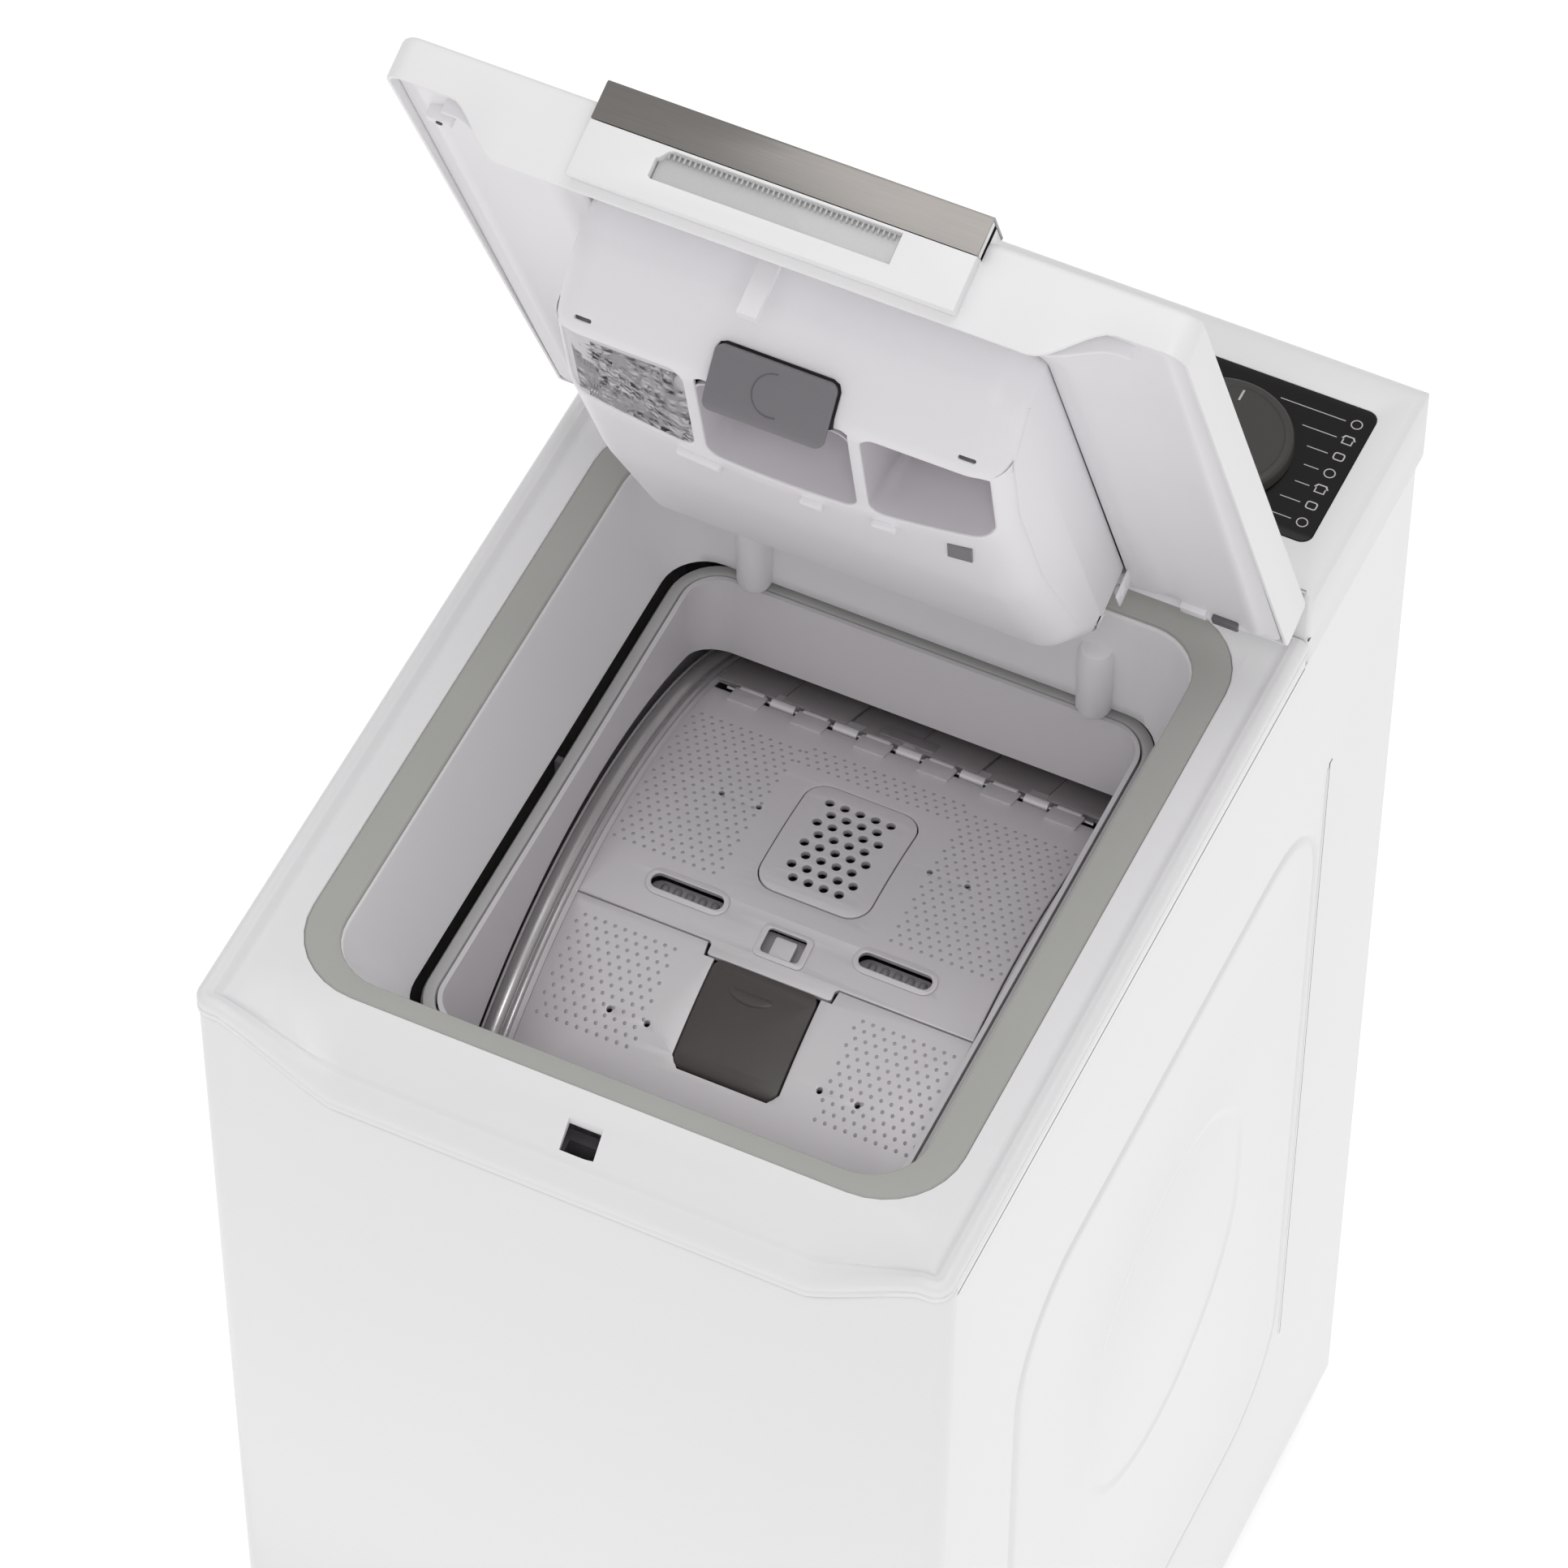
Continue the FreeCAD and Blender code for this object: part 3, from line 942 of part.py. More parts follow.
def make_tub():
    neck_hole = rounded_slab(*grown(NECK_IN, "funnel_wall"), DRUM_Z, NECK_TOP)
    outer = rod("X", "0", "0", DRUM_Z, TUB_OUT, TUB_HALF)
    inner = rod("X", "-1", "0", DRUM_Z, TUB_IN, f"{TUB_HALF_IN} + 1")
    hub = rod("X", TUB_HALF_IN, "0", DRUM_Z, "bearing_radius + hub_wall", f"{HUB_END} - {TUB_HALF_IN}")
    lugs = [box(f"{TUB_HALF} - 2", f"{SPRING_X} + 8", f"{y} - 8", f"{y} + 8", f"{SPRING_LOW} - 10",
                SPRING_LOW)
            for y in ("spring_spread", "-spring_spread")]
    ribs = [cut(box(f"{TUB_HALF} - 1", f"{TUB_HALF} + 8", "-2", "2", f"{DRUM_Z} - {TUB_OUT} + 8",
                    f"{DRUM_Z} + {TUB_OUT} - 8"),
                rod("X", "0", "0", DRUM_Z, "bearing_radius", "width")),
            cut(box(f"{TUB_HALF} - 1", f"{TUB_HALF} + 8", f"-{TUB_OUT} + 8", f"{TUB_OUT} - 8",
                    f"{DRUM_Z} - 2",
                    f"{DRUM_Z} + 2"),
                rod("X", "0", "0", DRUM_Z, "bearing_radius", "width"))]
    bore = rod("X", f"{TUB_HALF_IN} - 1", "0", DRUM_Z, "bearing_radius", "seal_width + bearing_width + 1")
    lip = rod("X", TUB_HALF_IN, "0", DRUM_Z, "bearing_radius - 6", "60")
    right = cut(fuse(cut(outer, inner), hub, *lugs, *ribs), bore, lip, neck_hole)
    node(right, "tub_right")
    heater_holes = [rod("X", f"-{TUB_HALF} - 1", y, HEATER_Z, "heater_radius + 0.5", "tub_wall + 12")
                    for y in ("heater_spread", "-heater_spread")]
    node(cut(mirrored(right), *heater_holes), "tub_left")
    neck = cut(rounded_slab(*grown(NECK_IN, "funnel_wall"), DRUM_Z, NECK_TOP),
               rounded_slab(*NECK_IN, f"{DRUM_Z} - 1", f"{NECK_TOP} + 1"),
               rod("X", "-width", "0", DRUM_Z, TUB_IN, "2*width"))
    node(neck, "tub_neck")
    for side, label in (("", "right"), ("-", "left")):
        start = TUB_HALF_IN if not side else f"-{TUB_HALF_IN} - seal_width"
        ring = cut(rod("X", start, "0", DRUM_Z, "bearing_radius", "seal_width"),
                   rod("X", f"{start} - 1", "0", DRUM_Z, "shaft_radius + pin_gap", "seal_width + 2"))
        node(ring, f"shaft_seal_{label}")
        start = f"{TUB_HALF_IN} + seal_width" if not side else f"-{TUB_HALF_IN} - seal_width - bearing_width"
        ring = cut(rod("X", start, "0", DRUM_Z, "bearing_radius", "bearing_width"),
                   rod("X", f"{start} - 1", "0", DRUM_Z, "shaft_radius + pin_gap", "bearing_width + 2"))
        node(ring, f"drum_bearing_{label}")
    pipes = [rod("X", f"-{TUB_HALF} - 10", y, HEATER_Z, "heater_radius", f"{TUB_HALF} + 110")
             for y in ("heater_spread", "-heater_spread")]
    bend = rod("Y", "100", "-heater_spread", HEATER_Z, "heater_radius", "2*heater_spread")
    plate = box(f"-{TUB_HALF} - 14", f"-{TUB_HALF} - 10", "-heater_spread - 9", "heater_spread + 9",
                f"{HEATER_Z} - 9", f"{HEATER_Z} + 9")
    node(fuse(*pipes, bend, plate), "heating_element")
    block = box("-110", "110", f"-{TUB_OUT} - weight_thickness", f"-{TUB_OUT} + 30", f"{DRUM_Z} - 80",
                f"{DRUM_Z} + 80")
    node(cut(block, rod("X", "-width", "0", DRUM_Z, f"{TUB_OUT} + 0.2", "2*width")), "counterweight")


# ---------------------------------------------------------------- drum


def arc_sheet(inner, outer, x0, x1, y0, y1):
    """A piece of the drum's round surface, above the drum's axis."""
    tube = cut(rod("X", x0, "0", DRUM_Z, outer, f"({x1}) - ({x0})"),
               rod("X", f"{x0} - 1", "0", DRUM_Z, inner, f"({x1}) - ({x0}) + 2"))
    return common(tube, box(x0, x1, y0, y1, DRUM_Z, f"{DRUM_Z} + {TUB_OUT}"))


def fingers(hinge, arm_start, arm_end, places, grow):
    """Hinge knuckles with the arms that join them to their sheet."""
    height = on_drum(hinge, PIN_R)
    parts = []
    for place in places:
        low = f"({place}) - finger_width/2 + {grow}"
        high = f"({place}) + finger_width/2 - {grow}"
        parts.append(rod("X", low, hinge, height, "flap_pin_radius + 2", f"({high}) - ({low})"))
        parts.append(arc_sheet(f"{DRUM_R} - 1", f"{DRUM_R} + 2", low, high, arm_start, arm_end))
    return parts


def make_drum():
    rear, front = "hinge_line", "(-front_line)"
    flap_places = [f"{index}*finger_pitch" for index in (-2.5, -1.5, -0.5, 0.5, 1.5, 2.5)]
    shell_places = [f"{index}*finger_pitch" for index in (-2, -1, 0, 1, 2)]
    tube = cut(rod("X", f"-{DRUM_HALF} + 1.2", "0", DRUM_Z, DRUM_R, f"2*{DRUM_HALF} - 2.4"),
               rod("X", f"-{DRUM_HALF}", "0", DRUM_Z, f"{DRUM_R} - drum_wall", f"2*{DRUM_HALF}"))
    mouth = box(f"-{FLAP_HALF} - flap_gap", f"{FLAP_HALF} + flap_gap", f"{front} - 4", f"{rear} + 4",
                DRUM_Z, f"{DRUM_Z} + {TUB_OUT}")
    knuckles = fingers(rear, f"{rear} + 1", f"{rear} + 10", shell_places, "0.3")
    knuckles += fingers(front, f"{front} - 10", f"{front} - 1", shell_places, "0.3")
    pins = [rod("X", f"-{FLAP_HALF} + 6", y, on_drum(y, PIN_R), "flap_pin_radius", f"2*{FLAP_HALF} - 12")
            for y in (rear, front)]
    bores = [rod("X", f"-{FLAP_HALF} + 6", y, on_drum(y, PIN_R), "flap_pin_radius", f"2*{FLAP_HALF} - 12")
             for y in (rear, front)]
    node(cut(fuse(cut(tube, mouth), *knuckles), *bores), "drum_shell")
    node(group(*pins), "flap_hinge_pins")

    sheet_in, sheet_out = f"{DRUM_R} - 1", f"{DRUM_R} + flap_wall - 1"
    parting = "(-parting_line)"
    insert = ("-insert_half", "insert_half", "insert_centre - insert_length/2",
              "insert_centre + insert_length/2")
    run = f"({rear} - 5)"
    sheet = arc_sheet(sheet_in, sheet_out, f"-{FLAP_HALF}", FLAP_HALF, f"{parting} + flap_gap/2", run)
    tongue = arc_sheet(sheet_in, sheet_out, "-latch_half - 6", "latch_half + 6", f"{parting} - 6",
                       f"{parting} + 2")
    window = box(insert[0], insert[1], insert[2], insert[3], DRUM_Z, f"{DRUM_Z} + {TUB_OUT}")
    slots = []
    for place in ("slot_offset", "-slot_offset"):
        slots.append(box(f"{place} - slot_half + slot_width/2", f"{place} + slot_half - slot_width/2",
                         "-slot_line - slot_width/2", "-slot_line + slot_width/2", f"{DRUM_Z} + {DRUM_R}/2",
                         f"{DRUM_Z} + {TUB_OUT}"))
        for end in (f"{place} - slot_half + slot_width/2", f"{place} + slot_half - slot_width/2"):
            slots.append(rod("Z", end, "-slot_line", f"{DRUM_Z} + {DRUM_R}/2", "slot_width/2", TUB_OUT))
    peep = box("-12", "12", "-slot_line - 17", "-slot_line + 1", f"{DRUM_Z} + {DRUM_R}/2",
               f"{DRUM_Z} + {TUB_OUT}")
    bores = [rod("X", "-width/2", y, on_drum(y, PIN_R), "flap_pin_radius + pin_gap",
                 "width") for y in (rear, front)]
    knuckles = fingers(rear, f"{rear} - 8", f"{rear} - 1", flap_places, "0")
    node(cut(fuse(cut(fuse(sheet, tongue), window, peep, *slots), *knuckles), bores[0]), "drum_flap_rear")

    plate = arc_sheet(f"{DRUM_R} - 1.4", f"{DRUM_R} + flap_wall - 0.4", *insert)
    holes = []
    for row in range(6):
        count = 4 if row % 2 else 5
        for column in range(count):
            holes.append(rod("Z", f"{9 * (column - (count - 1) / 2)}", f"insert_centre + {10 * (row - 2.5)}",
                             f"{DRUM_Z} + {DRUM_R}/2", "2.2", TUB_OUT))
    node(cut(plate, *holes), "flap_insert")

    run = f"({front} + 5)"
    sheet = arc_sheet(sheet_in, sheet_out, f"-{FLAP_HALF}", FLAP_HALF, run, f"{parting} - flap_gap/2")
    notch = box("-latch_half - 6 - flap_gap", "latch_half + 6 + flap_gap", f"{parting} - 6 - flap_gap",
                f"{parting} + 1", DRUM_Z, f"{DRUM_Z} + {TUB_OUT}")
    seat = box("-latch_half - flap_gap", "latch_half + flap_gap", f"{parting} - 7 - latch_length - flap_gap",
               f"{parting} - 6", DRUM_Z, f"{DRUM_Z} + {TUB_OUT}")
    knuckles = fingers(front, f"{front} + 1", f"{front} + 8", flap_places, "0")
    cup = arc_sheet(f"{DRUM_R} - 12", f"{DRUM_R} - 10", "-latch_half - 4", "latch_half + 4",
                    f"{parting} - 11 - latch_length", f"{parting} - 7")
    walls = [arc_sheet(f"{DRUM_R} - 11", sheet_in, x0, x1, f"{parting} - 11 - latch_length", f"{parting} - 7")
             for x0, x1 in (("-latch_half - 4", "-latch_half - flap_gap"), ("latch_half + flap_gap", "latch_half + 4"))]
    node(cut(fuse(cut(sheet, notch, seat), cup, *walls, *knuckles), bores[1]), "drum_flap_front")
    button = arc_sheet(f"{DRUM_R} - 3", f"{DRUM_R} + flap_wall", "-latch_half", "latch_half",
                       f"{parting} - 7 - latch_length", f"{parting} - 7")
    node(button, "drum_latch_button")

    for sign, label in ((1, "right"), (-1, "left")):
        wall, dish = 1.2, 16
        path = [(f"{DRUM_HALF} - {dish}", "0"), (f"{DRUM_HALF} - {dish}", f"{DRUM_R} - 30"),
                (f"{DRUM_HALF} - {wall}", f"{DRUM_R} - 11"), (f"{DRUM_HALF} - {wall}", f"{DRUM_R} + 2"),
                (DRUM_HALF, f"{DRUM_R} + 2"), (DRUM_HALF, f"{DRUM_R} - 12"),
                (f"{DRUM_HALF} - {dish} + {wall}", f"{DRUM_R} - 31"), (f"{DRUM_HALF} - {dish} + {wall}", "0")]
        disc = fuse(turned("X", path, z=DRUM_Z),
                    rod("X", f"{DRUM_HALF} - {dish}", "0", DRUM_Z, "shaft_radius + 18", f"{dish} + 6"))
        disc = cut(disc, rod("X", f"{DRUM_HALF} - {dish} + 4", "0", DRUM_Z, "shaft_radius", "60"))
        node(disc if sign > 0 else mirrored(disc), f"drum_end_{label}")
    shaft_start = f"{DRUM_HALF} - 12"
    node(rod("X", shaft_start, "0", DRUM_Z, "shaft_radius", f"{HUB_END} + 2 - ({shaft_start})"),
         "drum_shaft_right")
    node(rod("X", f"-({PULLEY_END}) - 4", "0", DRUM_Z, "shaft_radius", f"{PULLEY_END} + 4 - ({shaft_start})"),
         "drum_shaft_left")
    lifters = []
    for turn in (90, 180, 270):
        lifter = prism("YZ", [
            ("-lifter_width/2", LIFTER_BASE), ("-lifter_width/2 + 9", f"{LIFTER_BASE} - lifter_height"),
            ("lifter_width/2 - 9", f"{LIFTER_BASE} - lifter_height"), ("lifter_width/2", LIFTER_BASE),
        ], f"-{DRUM_HALF} + 17", f"{DRUM_HALF} - 17", "5", (1, 2))
        lifter.Placement = Placement(Vector(0, 0, value(DRUM_Z)), Rotation(Vector(1, 0, 0), turn))
        lifters.append(lifter)
    node(group(*lifters), "drum_lifters")


# ---------------------------------------------------------------- drive, suspension and water


def belt_shape():
    """A flat belt round the drum pulley and the motor pulley, straight between them."""
    low = value(f"-({PULLEY_END}) + 1")
    width = value("pulley_width - 2")
    big = (0.0, value(DRUM_Z), value("pulley_radius + running_gap"))
    small = (value("motor_back"), value(MOTOR_Z), value("motor_pulley_radius + running_gap"))

    def loop(grow):
        (y1, z1, r1), (y2, z2, r2) = big, small
        r1, r2 = r1 + grow, r2 + grow
        span = math.hypot(y2 - y1, z2 - z1)
        along = math.atan2(z2 - z1, y2 - y1)
        lean = math.acos((r1 - r2) / span)
        spots = []
        for side in (1, -1):
            for y, z, r in ((y1, z1, r1), (y2, z2, r2)):
                angle = along + side * lean
                spots.append(Vector(low, y + r * math.cos(angle), z + r * math.sin(angle)))
        far_big = Vector(low, y1 - r1 * math.cos(along), z1 - r1 * math.sin(along))
        far_small = Vector(low, y2 + r2 * math.cos(along), z2 + r2 * math.sin(along))
        a, b, c, d = spots
        edges = [Part.makeLine(a, b), Part.Arc(b, far_small, d).toShape(), Part.makeLine(d, c),
                 Part.Arc(c, far_big, a).toShape()]
        return Part.Face(Part.Wire(edges)).extrude(Vector(width, 0, 0))

    return loop(value("belt_thickness")).cut(loop(0))


def make_drive():
    rim, hub, web = "pulley_radius", "shaft_radius + 9", "5"
    outline = [("0", "shaft_radius"), ("0", hub), (web, hub), (web, f"{rim} - 12"), ("0", f"{rim} - 12"),
               ("0", rim),
               ("pulley_width", rim), ("pulley_width", f"{rim} - 12"),
               (f"pulley_width - {web}", f"{rim} - 12"),
               (f"pulley_width - {web}", hub), ("pulley_width", hub), ("pulley_width", "shaft_radius")]
    node(turned("X", outline, x=f"-({PULLEY_END})", z=DRUM_Z), "drum_pulley")
    belt = doc.addObject("Part::Feature", "Belt")
    belt.Shape = belt_shape()
    node(belt, "drive_belt")
    motor_x = f"(-{TUB_HALF} - 10)"
    body = rod("X", motor_x, "motor_back", MOTOR_Z, "motor_radius", "motor_length")
    caps = [rod("X", f"{motor_x} - 4", "motor_back", MOTOR_Z, "motor_radius - 14", "motor_length + 14")]
    ears = [box(f"{motor_x} + {at}", f"{motor_x} + {at} + 12", "motor_back - 12", "motor_back + 12",
                f"{MOTOR_Z} + motor_radius - 6",
                f"{DRUM_Z} - sqrt(({TUB_OUT})^2 - (motor_back - 12)^2) - 0.5") for at in ("16", "86")]
    tub_round = rod("X", "-width", "0", DRUM_Z, f"{TUB_OUT} + 0.2", "2*width")
    node(cut(fuse(body, *caps, *ears), tub_round), "motor")
    node(fuse(rod("X", f"-({PULLEY_END})", "motor_back", MOTOR_Z, "motor_pulley_radius", "pulley_width"),
              rod("X", f"-({PULLEY_END}) - 3", "motor_back", MOTOR_Z, "5",
                  f"{PULLEY_END} + 3 + ({motor_x}) - 4 - running_gap")), "motor_pulley")


def make_suspension():
    springs = []
    for x in (SPRING_X, f"-({SPRING_X})"):
        for y in ("spring_spread", "-spring_spread"):
            springs.append(cut(rod("Z", x, y, f"{SPRING_LOW} + panel_gap", "spring_radius",
                                   f"{SPRING_TOP} - {SPRING_LOW} - 2*panel_gap"),
                               rod("Z", x, y, SPRING_LOW, "spring_radius - 3",
                                   f"{SPRING_TOP} - {SPRING_LOW}")))
    node(group(*springs), "suspension_springs")
    dampers = []
    for x, y in (("-100", "-damper_spread"), ("100", "damper_spread")):
        top = f"({DRUM_Z} - sqrt(({TUB_OUT})^2 - (damper_spread)^2))"
        tube = rod("Z", x, y, f"{BASE_FLOOR} + 0.2", "damper_radius", f"({top} - {BASE_FLOOR})*0.6")
        stem = rod("Z", x, y, f"{BASE_FLOOR} + 2", "5", f"{top} - {BASE_FLOOR} + 20")
        dampers.append(cut(fuse(tube, stem), rod("X", "-width", "0", DRUM_Z, f"{TUB_OUT} + 0.2", "2*width")))
    node(group(*dampers), "shock_absorbers")


def make_water_inlet():
    inside = f"{PANEL_REAR} - 2*sheet_gauge - 2*panel_gap"
    body = box("-inlet_offset - 20", "-inlet_offset + 20", f"{inside} - 36", inside, "inlet_height - 22",
               "inlet_height + 22")
    stub = rod("Y", "-inlet_offset", f"{inside} - 1", "inlet_height", "inlet_radius",
               f"{PANEL_REAR} + inlet_length - ({inside}) + 1")
    bore = rod("Y", "-inlet_offset", f"{PANEL_REAR}", "inlet_height", "inlet_radius - 4", "30")
    coils = [rod("X", f"-inlet_offset + {at}", f"{inside} - 18", "inlet_height + 20", "10",
                 "14") for at in ("-17", "3")]
    node(cut(fuse(body, stub, *coils), bore), "water_inlet_valve")




def check_and_write():
    """Stops if any object failed or any sub-part is empty or not valid, then writes the files."""
    doc.recompute()
    failed = [thing.Name for thing in doc.Objects if {"Invalid", "Error"} & set(thing.State)]
    if failed:
        raise RuntimeError(f"failed objects: {failed}")
    for thing in nodes:
        if thing.Shape.isNull() or not thing.Shape.isValid() or not thing.Shape.Solids:
            raise RuntimeError(f"{thing.Label} has no valid solid")
    os.makedirs("parts", exist_ok=True)
    for thing in nodes:
        thing.Shape.exportStep(f"parts/{thing.Label}.step")
    print(f"{len(nodes)} sub-parts written")


make_base_frame()
make_feet()
make_side_panels()
make_front_panel()
make_rear_panel()
make_kick_plate()
make_pump()
make_top_plate()
make_lid_lock()
make_seals()
make_console()
make_lid()
make_handle()
make_dispenser()
make_tub()
make_drum()
make_drive()
make_suspension()
make_water_inlet()
check_and_write()
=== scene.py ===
import json
import math

import bmesh
import bpy
from mathutils import Matrix, Vector


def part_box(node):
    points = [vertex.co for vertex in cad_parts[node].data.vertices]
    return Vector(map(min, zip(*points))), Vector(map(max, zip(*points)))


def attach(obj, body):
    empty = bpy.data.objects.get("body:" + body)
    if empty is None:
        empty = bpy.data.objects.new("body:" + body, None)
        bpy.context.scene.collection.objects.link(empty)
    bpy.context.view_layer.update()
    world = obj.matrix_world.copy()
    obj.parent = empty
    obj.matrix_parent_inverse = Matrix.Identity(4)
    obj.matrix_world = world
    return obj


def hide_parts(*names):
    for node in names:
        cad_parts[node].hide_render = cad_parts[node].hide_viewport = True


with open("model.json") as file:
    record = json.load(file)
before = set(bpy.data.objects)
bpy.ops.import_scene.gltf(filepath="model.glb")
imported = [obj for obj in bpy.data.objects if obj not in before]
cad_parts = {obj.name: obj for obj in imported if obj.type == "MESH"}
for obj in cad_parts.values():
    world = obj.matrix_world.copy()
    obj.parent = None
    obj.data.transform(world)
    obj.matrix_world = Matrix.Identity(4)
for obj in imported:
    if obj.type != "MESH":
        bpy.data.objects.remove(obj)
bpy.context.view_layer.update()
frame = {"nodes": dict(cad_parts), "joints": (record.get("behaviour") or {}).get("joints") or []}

# Lengths in this script are millimetres; a finished piece is scaled to metres in its mesh.
MM = 0.001


def corner(node):
    """Lowest and highest corner of a CAD node, in millimetres."""
    low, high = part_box(node)
    return low / MM, high / MM


def joint_place(name):
    """Where a joint is, in millimetres."""
    joint = next(item for item in frame["joints"] if item["name"] == name)
    return Vector(joint["pos_m"]) / MM


PLATE_LOW, PLATE_HIGH = corner("top_plate")
SEAL_LOW, SEAL_HIGH = corner("lid_seal")
CONSOLE_LOW, CONSOLE_HIGH = corner("console_housing")
GLASS_LOW, GLASS_HIGH = corner("display_glass")
NECK_LOW, NECK_HIGH = corner("tub_neck")
SHELL_LOW, SHELL_HIGH = corner("drum_shell")

HALF = PLATE_HIGH.x
# The console node's own box also holds its hinge ears, which reach ahead of its front wall.
CONSOLE_DEPTH = 154.5
CONSOLE_FRONT = CONSOLE_HIGH.y - CONSOLE_DEPTH
FRONT = PLATE_LOW.y
RIM = PLATE_HIGH.z
DECK = SEAL_HIGH.z
LEDGE = SEAL_LOW.z
LIP = PLATE_LOW.z
HINGE = joint_place("lid_hinge")
DRUM = joint_place("drum_spin")
DRUM_R = (SHELL_HIGH.z - SHELL_LOW.z) / 2
LID_OPEN = math.radians(68)
# Two outlines as x0, x1, y0, y1 and corner radius: the lid seal's outside, and the funnel's mouth in it.
SEAL_RING = (SEAL_LOW.x, SEAL_HIGH.x, SEAL_LOW.y, SEAL_HIGH.y, 42)
MOUTH_RING = (SEAL_RING[0] + 19, SEAL_RING[1] - 19, SEAL_RING[2] + 12, SEAL_RING[3] - 17, 30)


# ---------------------------------------------------------------- materials


def linear(hex_colour):
    """An sRGB hex value as the linear colour that a shader takes."""
    parts = [int(hex_colour[at:at + 2], 16) / 255 for at in (1, 3, 5)]
    return (*[c / 12.92 if c <= 0.04045 else ((c + 0.055) / 1.055) ** 2.4 for c in parts], 1)


def add(tree, kind, inputs=(), links=(), **settings):
    """Adds a node with its settings, socket values and links from other nodes' outputs."""
    node = tree.nodes.new(kind)
    for name, setting in settings.items():
        setattr(node, name, setting)
    for name, number in dict(inputs).items():
        node.inputs[name].default_value = number
    for name, source in dict(links).items():
        tree.links.new(source, node.inputs[name])
    return node


# The size of the broad clouds in every finish, and how far its roughness spreads about the given one.
CLOUD_SIZE = 90
SMOOTHEST, ROUGHEST = 0.88, 1.14


def finish_material(name, light, dark, rough, grain, bump, metallic=0.0, stretch=(1, 1, 1), coat=0.0,
                    **shader):
    """A surface whose tone, roughness and relief all vary with a grain of that size in millimetres."""
    made = bpy.data.materials.new(name)
    made.use_nodes = True
    tree = made.node_tree
    surface = tree.nodes["Principled BSDF"]
    surface.inputs["Metallic"].default_value = metallic
    surface.inputs["Coat Weight"].default_value = coat
    for socket, number in shader.items():
        surface.inputs[socket.replace("_", " ")].default_value = number
    place = add(tree, "ShaderNodeTexCoord")
    drawn = add(tree, "ShaderNodeMapping", {"Scale": stretch}, {"Vector": place.outputs["Object"]})
    fine = add(tree, "ShaderNodeTexNoise", {"Scale": 1 / (grain * MM), "Detail": 3.0, "Roughness": 0.6},
               {"Vector": drawn.outputs["Vector"]})
    broad = add(tree, "ShaderNodeTexNoise", {"Scale": 1 / (CLOUD_SIZE * MM), "Detail": 2.0},
                {"Vector": place.outputs["Object"]})
    blend = add(tree, "ShaderNodeMath", {1: 0.5}, {0: fine.outputs["Fac"]}, operation="MULTIPLY")
    mixed = add(tree, "ShaderNodeMath", {1: 0.5}, {0: broad.outputs["Fac"], 2: blend.outputs[0]},
                operation="MULTIPLY_ADD")
    tone = add(tree, "ShaderNodeMix", {"A": linear(dark), "B": linear(light)},
               {"Factor": mixed.outputs[0]}, data_type="RGBA")
    tree.links.new(tone.outputs["Result"], surface.inputs["Base Color"])
    spread = add(tree, "ShaderNodeMapRange",
                 {"To Min": rough * SMOOTHEST, "To Max": min(rough * ROUGHEST, 1)},
                 {"Value": mixed.outputs[0]})
    tree.links.new(spread.outputs["Result"], surface.inputs["Roughness"])
    relief = add(tree, "ShaderNodeBump", {"Strength": 0.35, "Distance": bump * MM},
                 {"Height": fine.outputs["Fac"]})
    tree.links.new(relief.outputs["Normal"], surface.inputs["Normal"])
    return made


# Baked white enamel on sheet steel: a faint orange peel under an even gloss.
ENAMEL = finish_material("enamelled_steel", "#EEEDEE", "#EAE9EA", 0.3, 2.4, 0.03, coat=0.25)
# Injection moulded ABS with a fine satin grain.
ABS = finish_material("satin_abs", "#F0EFF0", "#ECEBEC", 0.38, 0.6, 0.03)
# Moulded polypropylene, slightly greyer and softer in gloss than the outer ABS.
PP = finish_material("moulded_polypropylene", "#EDEBEE", "#E8E6E9", 0.42, 0.8, 0.03)
# Neck and tub, filled polypropylene in a light grey.
TUB_PP = finish_material("filled_polypropylene", "#E2DFE2", "#DAD7DA", 0.45, 1.0, 0.05)
# EPDM lid seal: matte, powdery grey.
EPDM = finish_material("grey_epdm", "#B6B6B2", "#A6A6A2", 0.62, 0.8, 0.08)
EPDM_LIGHT = finish_material("light_epdm", "#C6C5C4", "#B8B7B6", 0.55, 0.8, 0.06)
BLACK_RUBBER = finish_material("black_rubber", "#2A2A2A", "#1E1E1E", 0.6, 0.7, 0.08)
# Satin stainless sheet of the drum.
STAINLESS = finish_material("satin_stainless", "#E0DDDF", "#D8D5D7", 0.45, 0.7, 0.02, metallic=0.4,
                            stretch=(0.08, 1, 1))
# A darker tone of the drum's stainless for the dimples, the hinge cover plate and the finger scoops; in the
# scoops it is painted shade in the recess.
DIMPLE = finish_material("pressed_stainless", "#B4B0B3", "#A8A4A7", 0.5, 0.7, 0.02, metallic=0.4)
RIM_STEEL = finish_material("rolled_steel_rim", "#D6D3D4", "#B9B6B7", 0.25, 0.8, 0.02, metallic=0.5)
# Brushed strip: drawn lines run along the handle.
BRUSHED = finish_material("brushed_stainless", "#A5A19E", "#85817E", 0.3, 0.5, 0.03, metallic=1.0,
                          stretch=(0.02, 1, 1), Anisotropic=0.5)
ZINC = finish_material("zinc_coated_sheet", "#BFC1C2", "#A4A6A8", 0.4, 9.0, 0.02, metallic=0.9)
GLASS = finish_material("black_glass", "#1A1819", "#171516", 0.22, 4.0, 0.002, Specular_IOR_Level=0.25)
PRINT = finish_material("screen_print", "#C9C7C6", "#B9B7B6", 0.5, 0.4, 0.005)
KNOB = finish_material("satin_knob", "#45423F", "#383633", 0.42, 0.5, 0.03)
PAD = finish_material("charcoal_abs", "#514C4A", "#46413F", 0.36, 0.8, 0.04)
BUTTON = finish_material("grey_abs", "#807C81", "#737075", 0.34, 0.7, 0.03)
